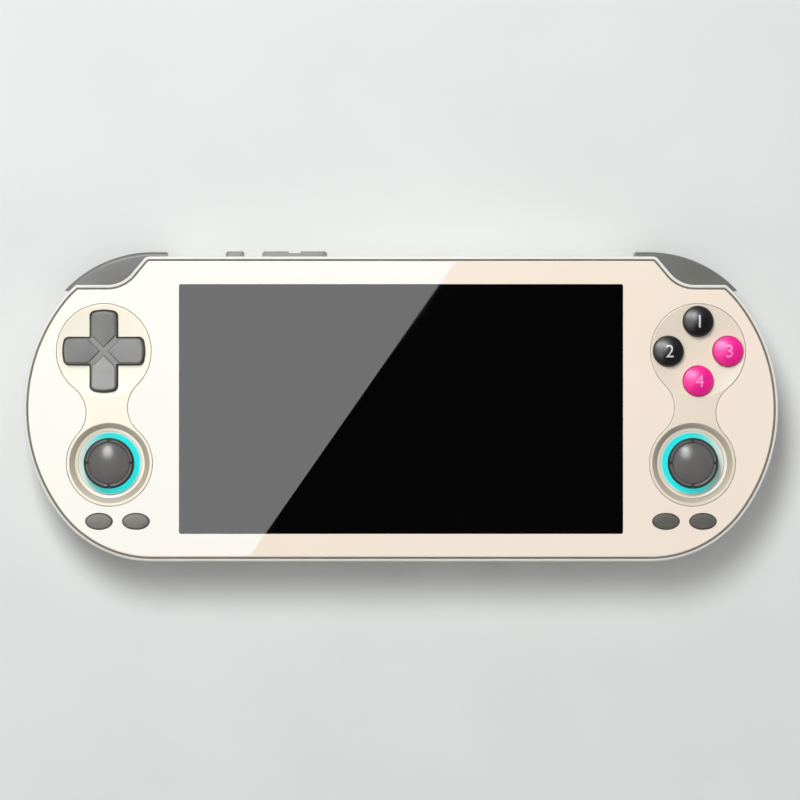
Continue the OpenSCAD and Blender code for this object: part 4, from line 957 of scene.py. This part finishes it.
# The key is brighter towards the top, and turned about X alone so that its long side stands upright in view
upright = (-math.atan2(studio["keyAt"][1], studio["keyAt"][2]), 0, 0)
key = areaLamp("keyLamp", studio["keyAt"], upright, studio["keyWide"], studio["keyLong"],
               studio["keyPower"])
key.data.color = studio["keyTint"]
key.data.shape = "ELLIPSE"
key.data.use_nodes = True
tree = key.data.node_tree
tree.nodes.clear()
spot = addNode(tree, "ShaderNodeNewGeometry")
level = addNode(tree, "ShaderNodeSeparateXYZ", None, {"Vector": spot.outputs["Parametric"]})
falloff = addNode(tree, "ShaderNodeMapRange",
                  {"To Min": studio["keyFall"][0], "To Max": studio["keyFall"][1]},
                  {"Value": level.outputs["Y"]})
glowing = addNode(tree, "ShaderNodeEmission", None, {"Strength": falloff.outputs["Result"]})
addNode(tree, "ShaderNodeOutputLight", None, {"Surface": glowing.outputs["Emission"]})
fill = areaLamp("fillLamp", studio["fillAt"], turnTo(studio["fillAt"], (0, 0, 0)),
                studio["fillSize"], studio["fillSize"], studio["fillPower"])
fill.visible_glossy = False

# A level panel that only gloss sees: its edge, turned in plan, lays the diagonal reflection over the glass
spread = 1 + studio["glareHeight"] / view["height"]
ends = [Vector((view["x"] + (x - view["x"]) * spread, view["y"] + (y - view["y"]) * spread))
        for x, y in studio["glareLine"]]
along = (ends[0] - ends[1]).normalized()
away = Vector((-along.y, along.x))
mid = (ends[0] + ends[1]) / 2 + away * studio["glareWide"] / 2
area = studio["glareWide"] * studio["glareLong"] * mm * mm
panel = areaLamp("glarePanel", (mid.x, mid.y, housing["faceZ"] + studio["glareHeight"]),
                 (0, 0, math.atan2(along.y, along.x)), studio["glareLong"], studio["glareWide"],
                 studio["glareRadiance"] * math.pi * area)
panel.visible_diffuse = False
faceButtons = ["topButton", "leftButton", "rightButton", "bottomButton"]
linkTo(panel, "glossyPieces", ["coverGlass", "leftControlPlate", "rightControlPlate", "directionPad",
                               *faceButtons, "optionButton1", "optionButton2"])

# A side lamp in the gloss of the face buttons alone, low enough to lie near their rims
sheen = areaLamp("sheenLamp", studio["sheenAt"],
                 turnTo(studio["sheenAt"], (upper["x"], upper["y"], button["top"])),
                 studio["sheenSize"], studio["sheenSize"], studio["sheenPower"])
sheen.visible_diffuse = False
linkTo(sheen, "faceButtons", faceButtons)

world = bpy.data.worlds.new("studioSky")
scene.world = world
world.use_nodes = True
tree = world.node_tree
tree.nodes.clear()
skyward = addNode(tree, "ShaderNodeTexCoord").outputs["Generated"]
height = addNode(tree, "ShaderNodeSeparateXYZ", None, {"Vector": skyward})
fade = addNode(tree, "ShaderNodeValToRGB", None, {"Fac": height.outputs["Z"]})
setRamp(fade, [(at, (v, v, v * studio["skyBlue"], 1)) for at, v in studio["sky"]])
backdrop = addNode(tree, "ShaderNodeBackground", {"Strength": 1.0}, {"Color": fade.outputs["Color"]})
addNode(tree, "ShaderNodeOutputWorld", None, {"Surface": backdrop.outputs["Background"]})

camera = bpy.data.cameras.new("frontCamera")
camera.sensor_width = 36
camera.lens = camera.sensor_width * view["height"] / view["wide"]
camera.clip_start, camera.clip_end = 0.05, 20
cameraObj = bpy.data.objects.new("frontCamera", camera)
cameraObj.location = Vector((view["x"], view["y"], housing["faceZ"] + view["height"])) * mm
scene.collection.objects.link(cameraObj)
scene.camera = cameraObj
print("studio made")

bpy.context.view_layer.update()
